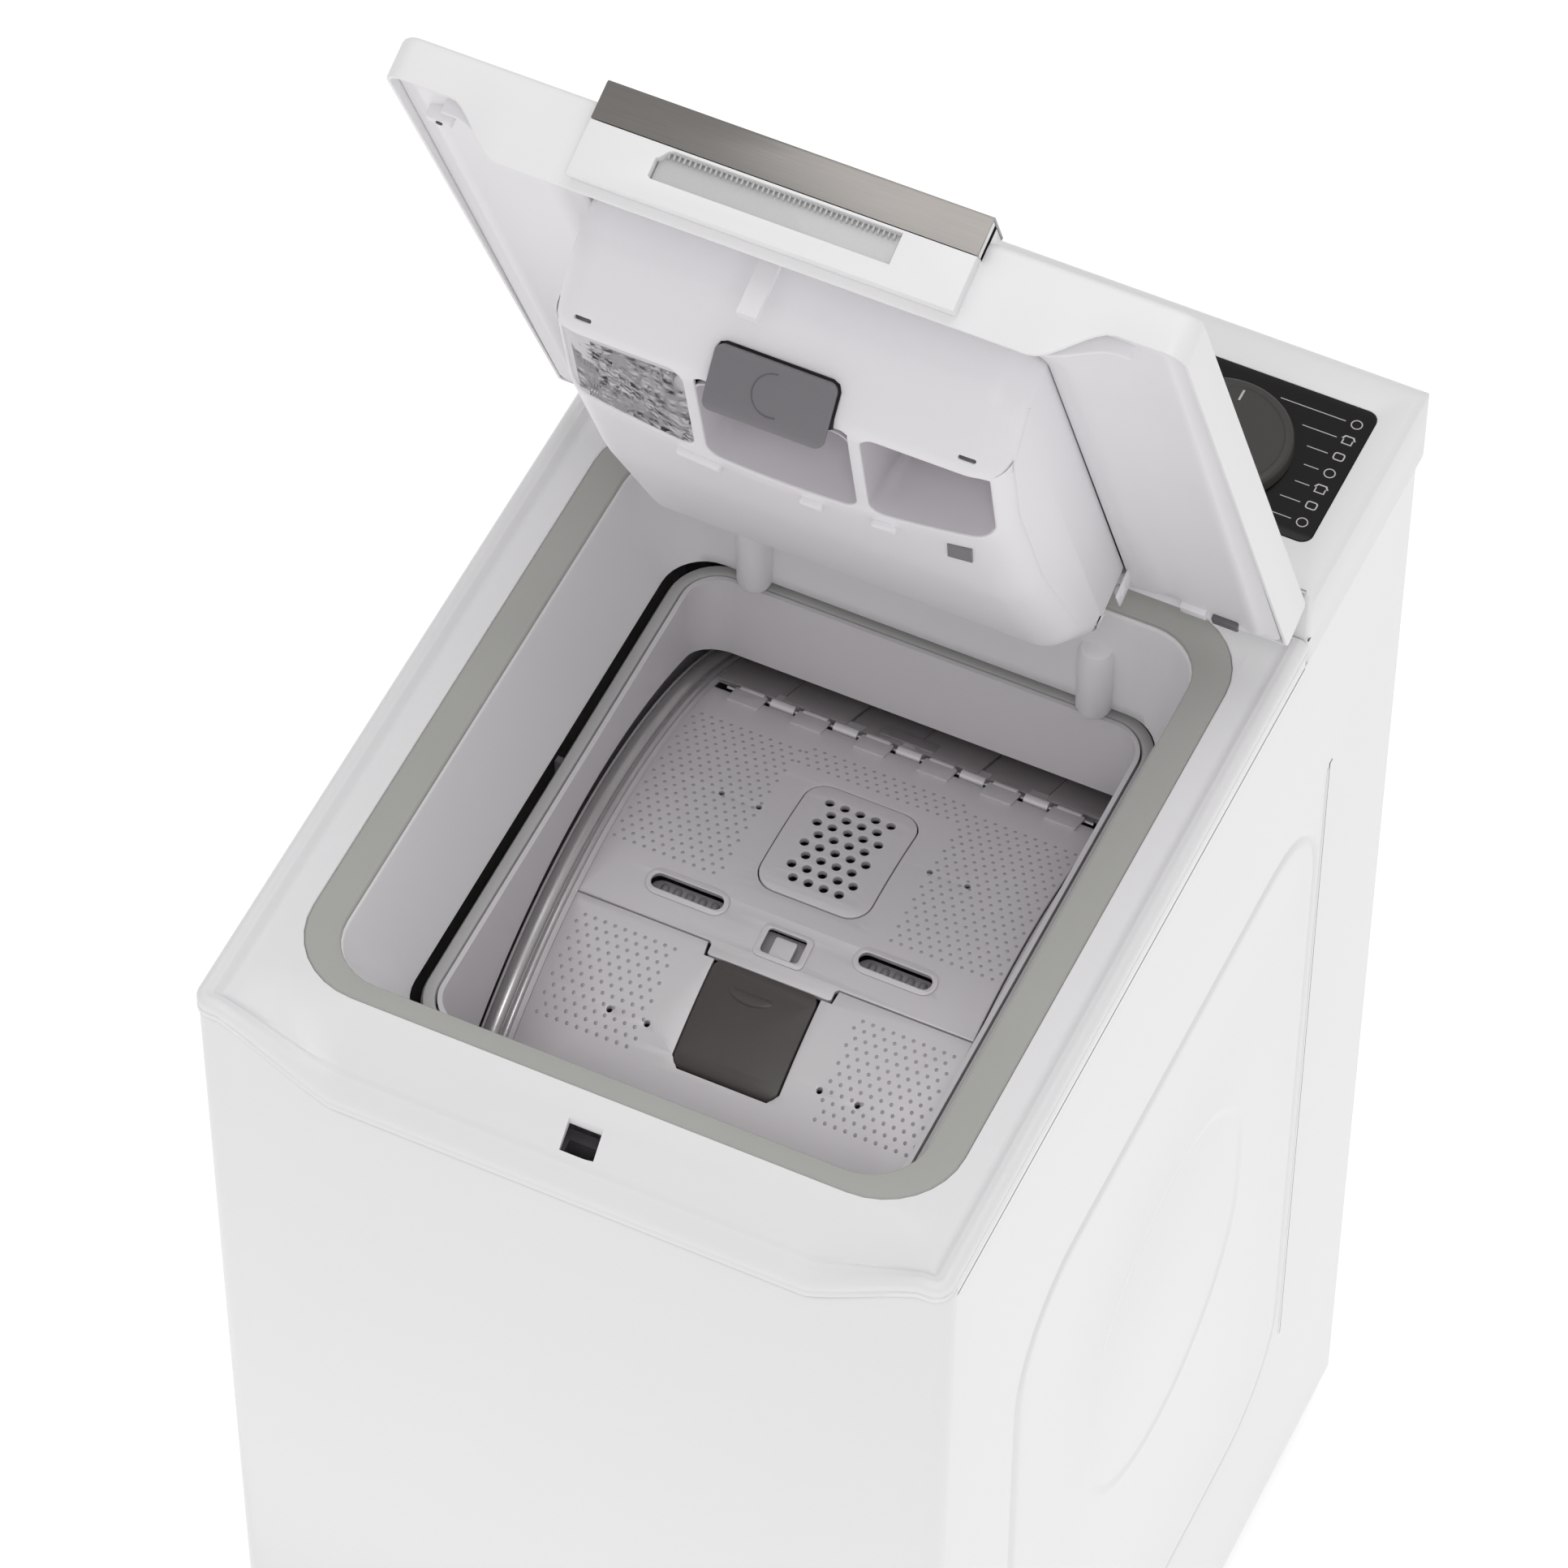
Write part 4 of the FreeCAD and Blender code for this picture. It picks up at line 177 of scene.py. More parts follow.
GREY_PP = finish_material("grey_polypropylene", "#6A676A", "#5C595C", 0.45, 0.9, 0.04)
# Polypropylene of the tray's pockets, painted darker than the tray as the shade inside the recesses.
POCKET_SHADE_PP = finish_material("pocket_polypropylene_painted_shade", "#D4D0D5", "#CAC6CB", 0.45, 0.8, 0.03)
SMOKE = finish_material("clear_grip", "#D4D3D3", "#B9B8B9", 0.25, 0.7, 0.03, coat=0.4)
DARK_STRIP = finish_material("hinge_strip", "#B5B0B3", "#9A9598", 0.35, 0.8, 0.02)
BLACK_PP = finish_material("black_polypropylene", "#343436", "#29292B", 0.5, 1.0, 0.06)
ALLOY = finish_material("cast_aluminium", "#B9B9BA", "#9C9C9E", 0.45, 1.4, 0.1, metallic=0.9)
BLACK_PAINT = finish_material("motor_lacquer", "#2C2D30", "#222326", 0.45, 1.2, 0.06)
BOARD = finish_material("circuit_board", "#2D6B45", "#245739", 0.4, 1.5, 0.03)
CONCRETE = finish_material("cast_concrete", "#A3A29F", "#83827F", 0.9, 3.0, 0.5)
STEEL = finish_material("turned_steel", "#C4C4C4", "#AFAFAF", 0.3, 0.6, 0.02, metallic=1.0)

NODE_FINISHES = {
    ABS: ("top_plate", "console_housing", "lid_outer_shell", "kick_plate", "filter_flap", "lid_handle"),
    PP: ("lid_liner", "dispenser_tray", "lid_latch_hook"),
    TUB_PP: ("tub_left", "tub_right", "tub_neck", "drain_pump", "water_inlet_valve"),
    EPDM: ("lid_seal",),
    BLACK_RUBBER: ("rear_feet", "front_left_foot", "front_right_foot", "drive_belt", "shaft_seal_left",
                   "shaft_seal_right", "cord_gland"),
    STAINLESS: ("drum_shell", "drum_end_left", "drum_end_right"),
    ZINC: ("rear_panel", "rear_service_cover", "panel_screws"),
    STEEL: ("heating_element", "shock_absorbers", "lid_hinge_pins", "drum_bearing_left", "drum_bearing_right",
            "drum_shaft_left", "drum_shaft_right", "flap_hinge_pins"),
    GREY_PP: ("pump_filter", "lid_lock", "drum_lifters"),
    BLACK_PP: ("base_frame",),
    ALLOY: ("drum_pulley", "motor_pulley"),
    BLACK_PAINT: ("motor",),
    BOARD: ("control_board",),
    CONCRETE: ("counterweight",),
}


def paint_nodes():
    """Gives each listed CAD node its finish."""
    for finish, names in NODE_FINISHES.items():
        for name in names:
            slots = frame["nodes"][name].data.materials
            slots.clear()
            slots.append(finish)


# ---------------------------------------------------------------- shaping


def ring(bm, x0, x1, y0, y1, radius, z, rear_radius=None):
    """A closed loop of edges round a rectangle; its front and rear corners may differ in radius."""
    rear_radius = radius if rear_radius is None else rear_radius
    verts = [bm.verts.new(spot) for spot in ((x0, y0, z), (x1, y0, z), (x1, y1, z), (x0, y1, z))]
    bm.faces.new(verts)
    for pair, size in ((verts[:2], radius), (verts[2:], rear_radius)):
        bmesh.ops.bevel(bm, geom=pair, offset=size, offset_type="OFFSET", segments=8, profile=0.5,
                        affect="VERTICES", material=-1)
    # Every loop is drawn before any bridge, so this loop's face is the only one.
    bm.faces.ensure_lookup_table()
    face = bm.faces[0]
    edges = list(face.edges)
    bmesh.ops.delete(bm, geom=[face], context="FACES_ONLY")
    return edges


def loft(bm, rings, closed=False, caps=(False, False)):
    """Bridges each ring to the next; closed joins the last to the first."""
    loops = [ring(bm, *spec) for spec in rings]
    pairs = list(zip(loops, loops[1:])) + ([(loops[-1], loops[0])] if closed else [])
    for here, there in pairs:
        bmesh.ops.bridge_loops(bm, edges=here + there)
    for cap, loop in zip(caps, (loops[0], loops[-1])):
        if cap:
            bmesh.ops.edgeloop_fill(bm, edges=loop)
    bmesh.ops.recalc_face_normals(bm, faces=bm.faces)
    return loops


def shift(bm, x, y, z):
    """Moves a whole shape."""
    bmesh.ops.translate(bm, vec=(x, y, z), verts=bm.verts)


def inset(spec, by, z):
    """An outline moved inward all round, with its height."""
    x0, x1, y0, y1, radius = spec[:5]
    return (x0 + by, x1 - by, y0 + by, y1 - by, max(radius - by, 0.3), z)


def cuts(bm, axis, places):
    """Cuts the mesh across an axis at each place, so that it can bend there."""
    normal = [0, 0, 0]
    normal["xyz".index(axis)] = 1
    for place in places:
        point = [place * part for part in normal]
        geom = [*bm.verts, *bm.edges, *bm.faces]
        bmesh.ops.bisect_plane(bm, geom=geom, plane_co=point, plane_no=normal, dist=0.0001)


def steps(low, high, pitch):
    """Evenly spaced places between two ends, about a pitch apart."""
    count = max(int(round((high - low) / pitch)), 1)
    return [low + (high - low) * index / count for index in range(1, count)]


def mirrored(places):
    """Places across the machine, then the same places on its other side."""
    return [*places, *[-place for place in places]]


def ease(amount):
    """A smooth rise from 0 to 1."""
    amount = min(max(amount, 0), 1)
    return amount * amount * (3 - 2 * amount)


def rounded(x0, x1, y0, y1, radius, count=6):
    """The points of a rectangle with round corners."""
    points = []
    for quarter, (x, y) in enumerate(((x1 - radius, y0 + radius), (x1 - radius, y1 - radius),
                                      (x0 + radius, y1 - radius), (x0 + radius, y0 + radius))):
        for index in range(count + 1):
            angle = math.pi / 2 * (quarter - 1 + index / count)
            points.append((x + radius * math.cos(angle), y + radius * math.sin(angle)))
    return points


def disc(x, y, radius, count=12):
    """The points of a circle."""
    return [(x + radius * math.cos(math.tau * k / count), y + radius * math.sin(math.tau * k / count))
            for k in range(count)]


def plate(outline, holes=(), low=0.0, high=1.0, edge=0.0):
    """A flat plate with holes, its edges rounded by that much, as a bmesh from low to high."""
    curve = bpy.data.curves.new("outline", "CURVE")
    curve.dimensions = "2D"
    curve.fill_mode = "BOTH"
    for loop in (outline, *holes):
        spline = curve.splines.new("POLY")
        spline.points.add(len(loop) - 1)
        for point, (x, y) in zip(spline.points, loop):
            point.co = (x, y, 0, 1)
        spline.use_cyclic_u = True
    curve.extrude = (high - low) / 2 - edge
    curve.bevel_depth = edge
    curve.bevel_resolution = 1
    curve.offset = -edge
    holder = bpy.data.objects.new("outline", curve)
    mesh = bpy.data.meshes.new_from_object(holder)
    bm = bmesh.new()
    bm.from_mesh(mesh)
    bpy.data.objects.remove(holder)
    bpy.data.curves.remove(curve)
    bpy.data.meshes.remove(mesh)
    bmesh.ops.remove_doubles(bm, verts=bm.verts, dist=0.001)
    shift(bm, 0, 0, (low + high) / 2)
    return bm


def block(x0, x1, y0, y1, z0, z1, edge=0.5, segments=2):
    """A box with rounded edges."""
    bm = bmesh.new()
    bmesh.ops.create_cube(bm, size=1)
    bmesh.ops.scale(bm, vec=(x1 - x0, y1 - y0, z1 - z0), verts=bm.verts)
    shift(bm, (x0 + x1) / 2, (y0 + y1) / 2, (z0 + z1) / 2)
    if edge:
        bmesh.ops.bevel(bm, geom=list(bm.edges), offset=edge, segments=segments, profile=0.5, affect="EDGES",
                        material=-1)
    return bm


def rod(axis, x, y, z, radius, length, edge=0.4, count=40):
    """A round bar from x, y, z along an axis, its end edges rounded."""
    bm = bmesh.new()
    bmesh.ops.create_cone(bm, cap_ends=True, segments=count, radius1=radius, radius2=radius, depth=length)
    if edge:
        rims = [item for item in bm.edges if abs(item.verts[0].co.z - item.verts[1].co.z) < 1e-4]
        bmesh.ops.bevel(bm, geom=rims, offset=edge, segments=2, profile=0.5, affect="EDGES", material=-1)
    shift(bm, 0, 0, length / 2)
    turn = {"X": Matrix.Rotation(math.pi / 2, 3, "Y"), "Y": Matrix.Rotation(-math.pi / 2, 3, "X"),
            "Z": Matrix.Identity(3)}[axis]
    bmesh.ops.rotate(bm, cent=(0, 0, 0), matrix=turn, verts=bm.verts)
    shift(bm, x, y, z)
    return bm


def join(*parts):
    """Several bmeshes as one."""
    whole = bmesh.new()
    for part in parts:
        mesh = bpy.data.meshes.new("part")
        part.to_mesh(mesh)
        part.free()
        whole.from_mesh(mesh)
        bpy.data.meshes.remove(mesh)
    return whole


def opened(bm):
    """Turns a shape drawn on the closed lid to the rest position."""
    bmesh.ops.rotate(bm, cent=HINGE, matrix=Matrix.Rotation(-LID_OPEN, 3, "X"), verts=bm.verts)
    return bm


def make(bm, name, body, finish, slot, *nodes, sharp=35, recalc=True):
    """Scales a shape to metres, gives it its finish and rides it on its body."""
    if recalc:
        bmesh.ops.recalc_face_normals(bm, faces=bm.faces)
    bmesh.ops.scale(bm, vec=(MM, MM, MM), verts=bm.verts)
    mesh = bpy.data.meshes.new(name)
    bm.to_mesh(mesh)
    bm.free()
    mesh.shade_smooth()
    mesh.set_sharp_from_angle(angle=math.radians(sharp))
    thing = bpy.data.objects.new(name, mesh)
    bpy.context.scene.collection.objects.link(thing)
    mesh.materials.append(finish)
    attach(thing, body)
    if nodes:
        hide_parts(*nodes)


# ---------------------------------------------------------------- top plate and funnel

# The front edge dips by this much; the dip is level as far as the first place and over at the second.
DIP = 36
DIP_FLAT, DIP_END = 127, 186
DIP_CUTS = [100, 115, 122, DIP_FLAT, 133, 140, 147, 154, 161, 168, 175, 181, DIP_END]
SLOPE_START = FRONT + 37
# The slot in the deck that takes the lid's latch hook: half its width, its front and its rear.
SLOT_HALF, SLOT_FRONT, SLOT_REAR = 9, FRONT + 13, FRONT + 25


def dip_at(x, y):
    """How far the top plate's front edge is lowered at a place."""
    across = (DIP_END - abs(x)) / (DIP_END - DIP_FLAT)
    across = min(max(0.75 * across + 0.25 * ease(across), 0), 1)
    along = min(max((SLOPE_START - y) / (SLOPE_START - FRONT), 0), 1)
    return DIP * across * along ** 1.25


def make_top_plate():
    bm = bmesh.new()
    rear = PLATE_HIGH.y
    seal, mouth = SEAL_RING, MOUTH_RING
    lip = (-137, 137, -208, 119, 24)

    def edge(by, z):
        return (-HALF + by, HALF - by, FRONT + by, rear - 0.06 * by, max(9 - by, 1.5), z, 0.8)

    rings = [edge(by, RIM - down) for by, down in (
        (0.6, 12), (0, 11.4), (0, 8.6), (0.9, 8), (0.9, 7.2), (0, 6.6), (0, 4), (0.5, 2.2), (1.6, 0.8),
        (3, 0), (5.2, 0), (6.4, 0.9), (7.4, 1), (8.6, 1.6))]
    rings += [
        edge(10.5, DECK + 1), edge(13.5, DECK), (*inset(seal, -0.4, DECK), 42),
        (*seal, DECK - 0.5), (*seal, LEDGE), (*mouth, LEDGE), inset(mouth, 0.6, LEDGE - 0.6),
        inset(mouth, 1.1, LEDGE - 2.5), (-138.5, 138.5, -210, 119.4, 25, LIP + 8), (*lip, LIP + 1.2),
        inset(lip, -1.2, LIP), inset(lip, -2.5, LIP + 1), inset(mouth, -2.5, LEDGE - 6),
        inset(seal, -3, LEDGE - 4), (-HALF + 13, HALF - 13, FRONT + 13, rear - 2, 3, DECK - 3),
        (-HALF + 3, HALF - 3, FRONT + 3, rear - 1.2, 6, RIM - 5),
        (-HALF + 3, HALF - 3, FRONT + 3, rear - 1.2, 6, RIM - 12),
    ]
    loft(bm, rings, closed=True)
    cuts(bm, "x", [*mirrored(DIP_CUTS), SLOT_HALF, -SLOT_HALF])
    cuts(bm, "y", [SLOT_FRONT, SLOT_REAR, SLOPE_START - 6, SLOPE_START])
    hole = []
    for face in bm.faces:
        middle = face.calc_center_median()
        inside = abs(middle.x) < SLOT_HALF and SLOT_FRONT < middle.y < SLOT_REAR and middle.z > DECK - 8
        if inside and abs(face.normal.z) > 0.5:
            hole.append(face)
    bmesh.ops.delete(bm, geom=hole, context="FACES")
    bmesh.ops.bridge_loops(bm, edges=[item for item in bm.edges if item.is_boundary])
    for vert in bm.verts:
        drop = dip_at(vert.co.x, vert.co.y)
        if vert.co.y < SLOPE_START and vert.co.z > DECK + 0.2:
            drop += (vert.co.z - DECK) * 0.45 * drop / DIP
        vert.co.z -= drop
    make(bm, "deck_moulding", "cabinet", ABS, "white_plastic", "top_plate", sharp=50)
    low, high = LIP - 3, LIP + 49
    spouts = [rod("Z", x, 118, low, 9.5, high - low, edge=5, count=32) for x in (-95, 95)]
    make(join(*spouts), "water_spouts", "cabinet", ABS, "white_plastic")


def make_seals():
    bm = bmesh.new()
    seal, mouth = SEAL_RING, MOUTH_RING
    rings = [
        inset(seal, 0.3, LEDGE + 0.1), inset(seal, 0.3, DECK - 0.7), inset(seal, 1.1, DECK),
        inset(seal, 4, DECK + 0.2), inset(mouth, -4, DECK + 0.2), inset(mouth, -1.1, DECK),
        inset(mouth, -0.4, DECK - 0.7), inset(mouth, -0.4, LEDGE + 0.1),
    ]
    loft(bm, rings, closed=True)
    make(bm, "lid_seal_profile", "cabinet", EPDM, "grey_rubber", "lid_seal")
    bm = bmesh.new()
    low, high = corner("bellows_seal")
    neck = (NECK_LOW.x + 2.5, NECK_HIGH.x - 2.5, NECK_LOW.y + 2.5, NECK_HIGH.y - 2.5, 18)
    rings = [
        inset(neck, -3.4, low.z + 1), inset(neck, -3.4, high.z - 9), inset(neck, -4.0, high.z - 8),
        inset(neck, -5.2, high.z - 7.6), inset(neck, -9.6, high.z - 8.0), inset(neck, -10.8, high.z - 10),
        inset(neck, -7.2, low.z + 4), inset(neck, -8.6, low.z + 2.5), inset(neck, -8.2, low.z + 1),
    ]
    loft(bm, rings, closed=True)
    make(bm, "neck_bellows", "cabinet", EPDM_LIGHT, "grey_rubber", "bellows_seal")


# ---------------------------------------------------------------- drum flaps


# A shape that bends over the drum is cut this often.
WRAP_PITCH = 4
# Half a flap's width, the two hinge lines, and the line where the flaps meet.
FLAP_HALF = 110
HINGE_REAR, HINGE_FRONT, PARTING = 104, -176, -59
TAB_PLACES = [side * place for side in (-1, 1) for place in (18, 54, 90)]
FINGER_SLOTS = (-58, 58)
# How far a flap's sheet stands above the drum, and the dimples pressed up in it.
SHEET_TOP = 2
DIMPLE_PITCH, DIMPLE_RADIUS, DIMPLE_HEIGHT = 5.6, 1.15, 0.35


def on_surface(bm):
    """Makes each height in a flat shape a height above the drum's surface."""
    for vert in bm.verts:
        radius = DRUM_R + vert.co.z
        vert.co.z = DRUM.z + math.sqrt(radius ** 2 - vert.co.y ** 2)
    return bm


def on_drum(bm):
    """Wraps a flat shape over the drum, cut across so that it bends."""
    low = min(vert.co.y for vert in bm.verts)
    high = max(vert.co.y for vert in bm.verts)
    cuts(bm, "y", steps(low, high, WRAP_PITCH))
    return on_surface(bm)


def dots(x_range, y_range):
    """Staggered rows of small raised dimples."""
    bm = bmesh.new()
    row_pitch = DIMPLE_PITCH * 0.82
    for row in range(int((y_range[1] - y_range[0]) / row_pitch)):
        y = y_range[0] + (row + 0.5) * row_pitch
        start = x_range[0] + DIMPLE_PITCH * (0.25 + 0.5 * (row % 2))
        for column in range(int((x_range[1] - start) / DIMPLE_PITCH) + 1):
            made = bmesh.ops.create_cone(bm, cap_ends=True, segments=6, radius1=DIMPLE_RADIUS,
                                         radius2=DIMPLE_RADIUS * 0.45, depth=DIMPLE_HEIGHT)
            place = (start + column * DIMPLE_PITCH, y, SHEET_TOP + DIMPLE_HEIGHT / 2 - 0.05)
            bmesh.ops.translate(bm, vec=place, verts=made["verts"])
    return on_surface(bm)


def pricks(y):
    """A row of four small holes."""
    return [disc(x, y, 1.6, 8) for x in (-69, -48, 48, 69)]


def hinge_tabs(line, start, end):
    """The tabs and knuckles along a flap's hinge line."""
    tabs = []
    for x in TAB_PLACES:
        tab = plate(rounded(x - 9, x + 9, min(start, end), max(start, end), 1.2), low=1.6, high=3.4, edge=0.5)
        tabs.append(on_drum(tab))
        height = DRUM.z + math.sqrt((DRUM_R + 0.5) ** 2 - line ** 2)
        tabs.append(rod("X", x - 7, line, height, 3.6, 14, edge=0.6, count=24))
    return tabs


def make_rear_flap():
    window = rounded(-31.6, 31.6, -21.6, 55.6, 12.4)
    slots = [rounded(x - 21, x + 21, -44, -34, 4.99) for x in FINGER_SLOTS]
    latch = rounded(-12, 12, -56, -40, 2.5)
    outline = [(-FLAP_HALF, PARTING + 0.4), (-36, PARTING + 0.4), (-34.5, PARTING - 1),
               (-34.5, PARTING - 5.6), (-33, PARTING - 6.6), (33, PARTING - 6.6), (34.5, PARTING - 5.6),
               (34.5, PARTING - 1), (36, PARTING + 0.4), (FLAP_HALF, PARTING + 0.4),
               (FLAP_HALF, HINGE_REAR - 5), (-FLAP_HALF, HINGE_REAR - 5)]
    sheet = on_drum(plate(outline, [window, *slots, latch, *pricks(24)], -1, SHEET_TOP, 0.45))
    tabs = hinge_tabs(HINGE_REAR, HINGE_REAR - 13, HINGE_REAR + 1)
    make(join(sheet, *tabs), "rear_flap_sheet", "rear_flap", STAINLESS, "drum_steel", "drum_flap_rear")
    fields = [dots((-108, -47), (-26, 78)), dots((47, 108), (-26, 78)), dots((-46, 46), (62, 84))]
    make(join(*fields), "rear_flap_dimples", "rear_flap", DIMPLE, "drum_steel")
    holes = []
    for row in range(8):
        count = 4 + row % 2
        for column in range(count):
            holes.append(disc((column - (count - 1) / 2) * 8.6, 17 + (row - 3.5) * 7.6, 2.5, 12))
    insert = on_drum(plate(rounded(-31, 31, -21, 55, 12), holes, -1.4, 2.3, 0.5))
    make(insert, "perforated_insert", "rear_flap", STAINLESS, "drum_steel", "flap_insert")
    rims, scoops = [], []
    for x in FINGER_SLOTS:
        rims.append(on_drum(plate(rounded(x - 23, x + 23, -46.5, -31.5, 7.4),
                                  [rounded(x - 20, x + 20, -43.2, -34.8, 4.1)], 1.7, 3, 0.5)))
        scoops.append(on_drum(plate(rounded(x - 22, x + 22, -46, -32, 6.9), low=-9, high=-7)))
        for index in range(5):
            scoops.append(rod("Y", x - 14 + 7 * index, -41, DRUM.z + DRUM_R * 0.986 - 7.4, 2.6, 7,
                              edge=0.8, count=12))
    rims.append(on_drum(plate(rounded(-14, 14, -57.5, -38.5, 3.5), [rounded(-10.5, 10.5, -54.5, -41, 2)],
                              1.7, 2.9, 0.5)))
    make(join(*rims), "flap_pressed_rims", "rear_flap", STAINLESS, "drum_steel")
    scoops.append(on_drum(plate(rounded(-13.4, 13.4, -57, -39, 3), low=-6, high=-4)))
    # The scoops and their ribs take the darker stainless, painted shade in the recesses under the finger
    # slots.
    make(join(*scoops), "finger_scoops", "rear_flap", DIMPLE, "drum_steel")
    tongue = on_drum(plate(rounded(-6, 6, -55, -43, 1.5), low=-4, high=0.8, edge=0.5))
    make(tongue, "flap_catch", "rear_flap", STAINLESS, "drum_steel")


def make_front_flap():
    # The notch in the flap's middle holds the latch pad.
    seat_end = PARTING - 61.6
    outline = [(-FLAP_HALF, HINGE_FRONT + 5), (FLAP_HALF, HINGE_FRONT + 5), (FLAP_HALF, PARTING - 0.4),
               (36.5, PARTING - 0.4), (35.6, PARTING - 7.4), (29.7, PARTING - 7.4), (29.7, seat_end + 5),
               (25, seat_end), (-25, seat_end), (-29.7, seat_end + 5), (-29.7, PARTING - 7.4),
               (-35.6, PARTING - 7.4), (-36.5, PARTING - 0.4), (-FLAP_HALF, PARTING - 0.4)]
    sheet = on_drum(plate(outline, pricks(-107), -1, SHEET_TOP, 0.45))
    tabs = hinge_tabs(HINGE_FRONT, HINGE_FRONT + 13, HINGE_FRONT - 1)
    make(join(sheet, *tabs), "front_flap_sheet", "front_flap", STAINLESS, "drum_steel", "drum_flap_front")
    fields = [dots((-105, -50), (-122, -64)), dots((50, 105), (-122, -64))]
    make(join(*fields), "front_flap_dimples", "front_flap", DIMPLE, "drum_steel")
    pad = on_drum(plate(rounded(-29, 29, PARTING - 61, PARTING - 7, 5), low=-3, high=3, edge=1.0))
    make(pad, "latch_pad", "latch_button", PAD, "pad_plastic", "drum_latch_button")
    grip = bmesh.new()
    bmesh.ops.create_uvsphere(grip, u_segments=24, v_segments=12, radius=1)
    bmesh.ops.scale(grip, vec=(13, 3.4, 1.3), verts=grip.verts)
    shift(grip, -4, -80, 2.6)
    for vert in grip.verts:
        vert.co.y += 0.012 * (vert.co.x + 4) ** 2
    make(on_surface(grip), "latch_pad_ridge", "latch_button", PAD, "pad_plastic")


def make_drum_trim():
    strips = []
    for index in range(6):
        x0 = -112 + index * 37.4
        strips.append(on_drum(plate(rounded(x0, x0 + 36.4, HINGE_REAR + 4.5, HINGE_REAR + 36, 1), low=0.1,
                                    high=1.6 + 1.2 * (index % 2), edge=0.4)))
    make(join(*strips), "flap_hinge_strip", "drum", DARK_STRIP, "drum_steel")
    clip = on_drum(plate(rounded(-21, 10, HINGE_REAR + 7.5, HINGE_REAR + 17, 1.2), low=0.6, high=3.4,
                         edge=0.5))
    make(clip, "hinge_cover_plate", "drum", DIMPLE, "drum_steel")
    rims = []
    # At each end of the drum, a narrow bead and the wide rolled edge outside it.
    for side in (-1, 1):
        for x, wide, high, radius in ((115.6, 2.2, 2, DRUM_R), (122.6, 4.4, 3, DRUM_R + 0.4)):
            bm = bmesh.new()
            made = bmesh.ops.create_circle(bm, segments=18, radius=1)
            bmesh.ops.scale(bm, vec=(wide, high, 1), verts=made["verts"])
            shift(bm, side * x, radius, 0)
            bmesh.ops.spin(bm, geom=[*bm.verts, *bm.edges], cent=(0, 0, 0), axis=(1, 0, 0), angle=math.tau,
                           steps=160, use_merge=True)
            shift(bm, 0, 0, DRUM.z)
            rims.append(bm)
    make(join(*rims), "drum_rolled_rims", "drum", RIM_STEEL, "drum_steel")


# ---------------------------------------------------------------- lid


def across(bm):
    """Turns a shape drawn in y and z, with its thickness along x, into place."""
    for vert in bm.verts:
        vert.co = Vector((vert.co.z, vert.co.x, vert.co.y))
    return bm


def upright(bm):
    """Turns a shape drawn in x and z, with its thickness ahead of y 0, into place."""
    for vert in bm.verts:
        vert.co = Vector((vert.co.x, -vert.co.z, vert.co.y))
    return bm


# The closed lid: its front and rear, the seam under it, and how its skirt dips in the middle.
LID_FRONT, LID_REAR, LID_LOW = -295, 132, 867
FRONT_RISE, REAR_RISE, REAR_LIFT = 22, 31, 5
SKIRT_DIP, SKIRT_FLAT, SKIRT_END = 22, 132, 166
SKIRT_CUTS = [100, SKIRT_FLAT, 136, 141, 146, 150, 154, 158, 162, SKIRT_END, 172, 180]
LINER_Z = LID_LOW + 5
TRAY_HALF = 116


def make_lid_cover():
    bm = bmesh.new()
    outer = (-HALF, HALF, LID_FRONT, LID_REAR, 11)

    # Heights run from 0 at the seam to 1 at the top, and are stretched to the lid's wedge afterwards.
    rings = [(*inset(outer, by, height), 1.5) for by, height in (
        (2.5, 0.88), (2.5, 0.1), (2.1, 0.01), (1.2, 0), (0.4, 0.01), (0, 0.05), (0, 0.84), (0.5, 0.92),
        (1.8, 0.98), (4, 1))]
    loft(bm, rings, caps=(True, True))
    cuts(bm, "x", mirrored(SKIRT_CUTS))
    for vert in bm.verts:
        run = (vert.co.y - LID_FRONT) / (LID_REAR - LID_FRONT)
        height = vert.co.z
        rise = FRONT_RISE + (REAR_RISE - REAR_LIFT - FRONT_RISE) * run
        vert.co.z = LID_LOW + REAR_LIFT * run + height * rise
        if vert.co.y < LID_FRONT + 2.7 and height < 0.06:
            vert.co.z -= SKIRT_DIP * ease((SKIRT_END - abs(vert.co.x)) / (SKIRT_END - SKIRT_FLAT))
    make(opened(bm), "lid_cover", "lid", ABS, "white_plastic", "lid_outer_shell", sharp=50)


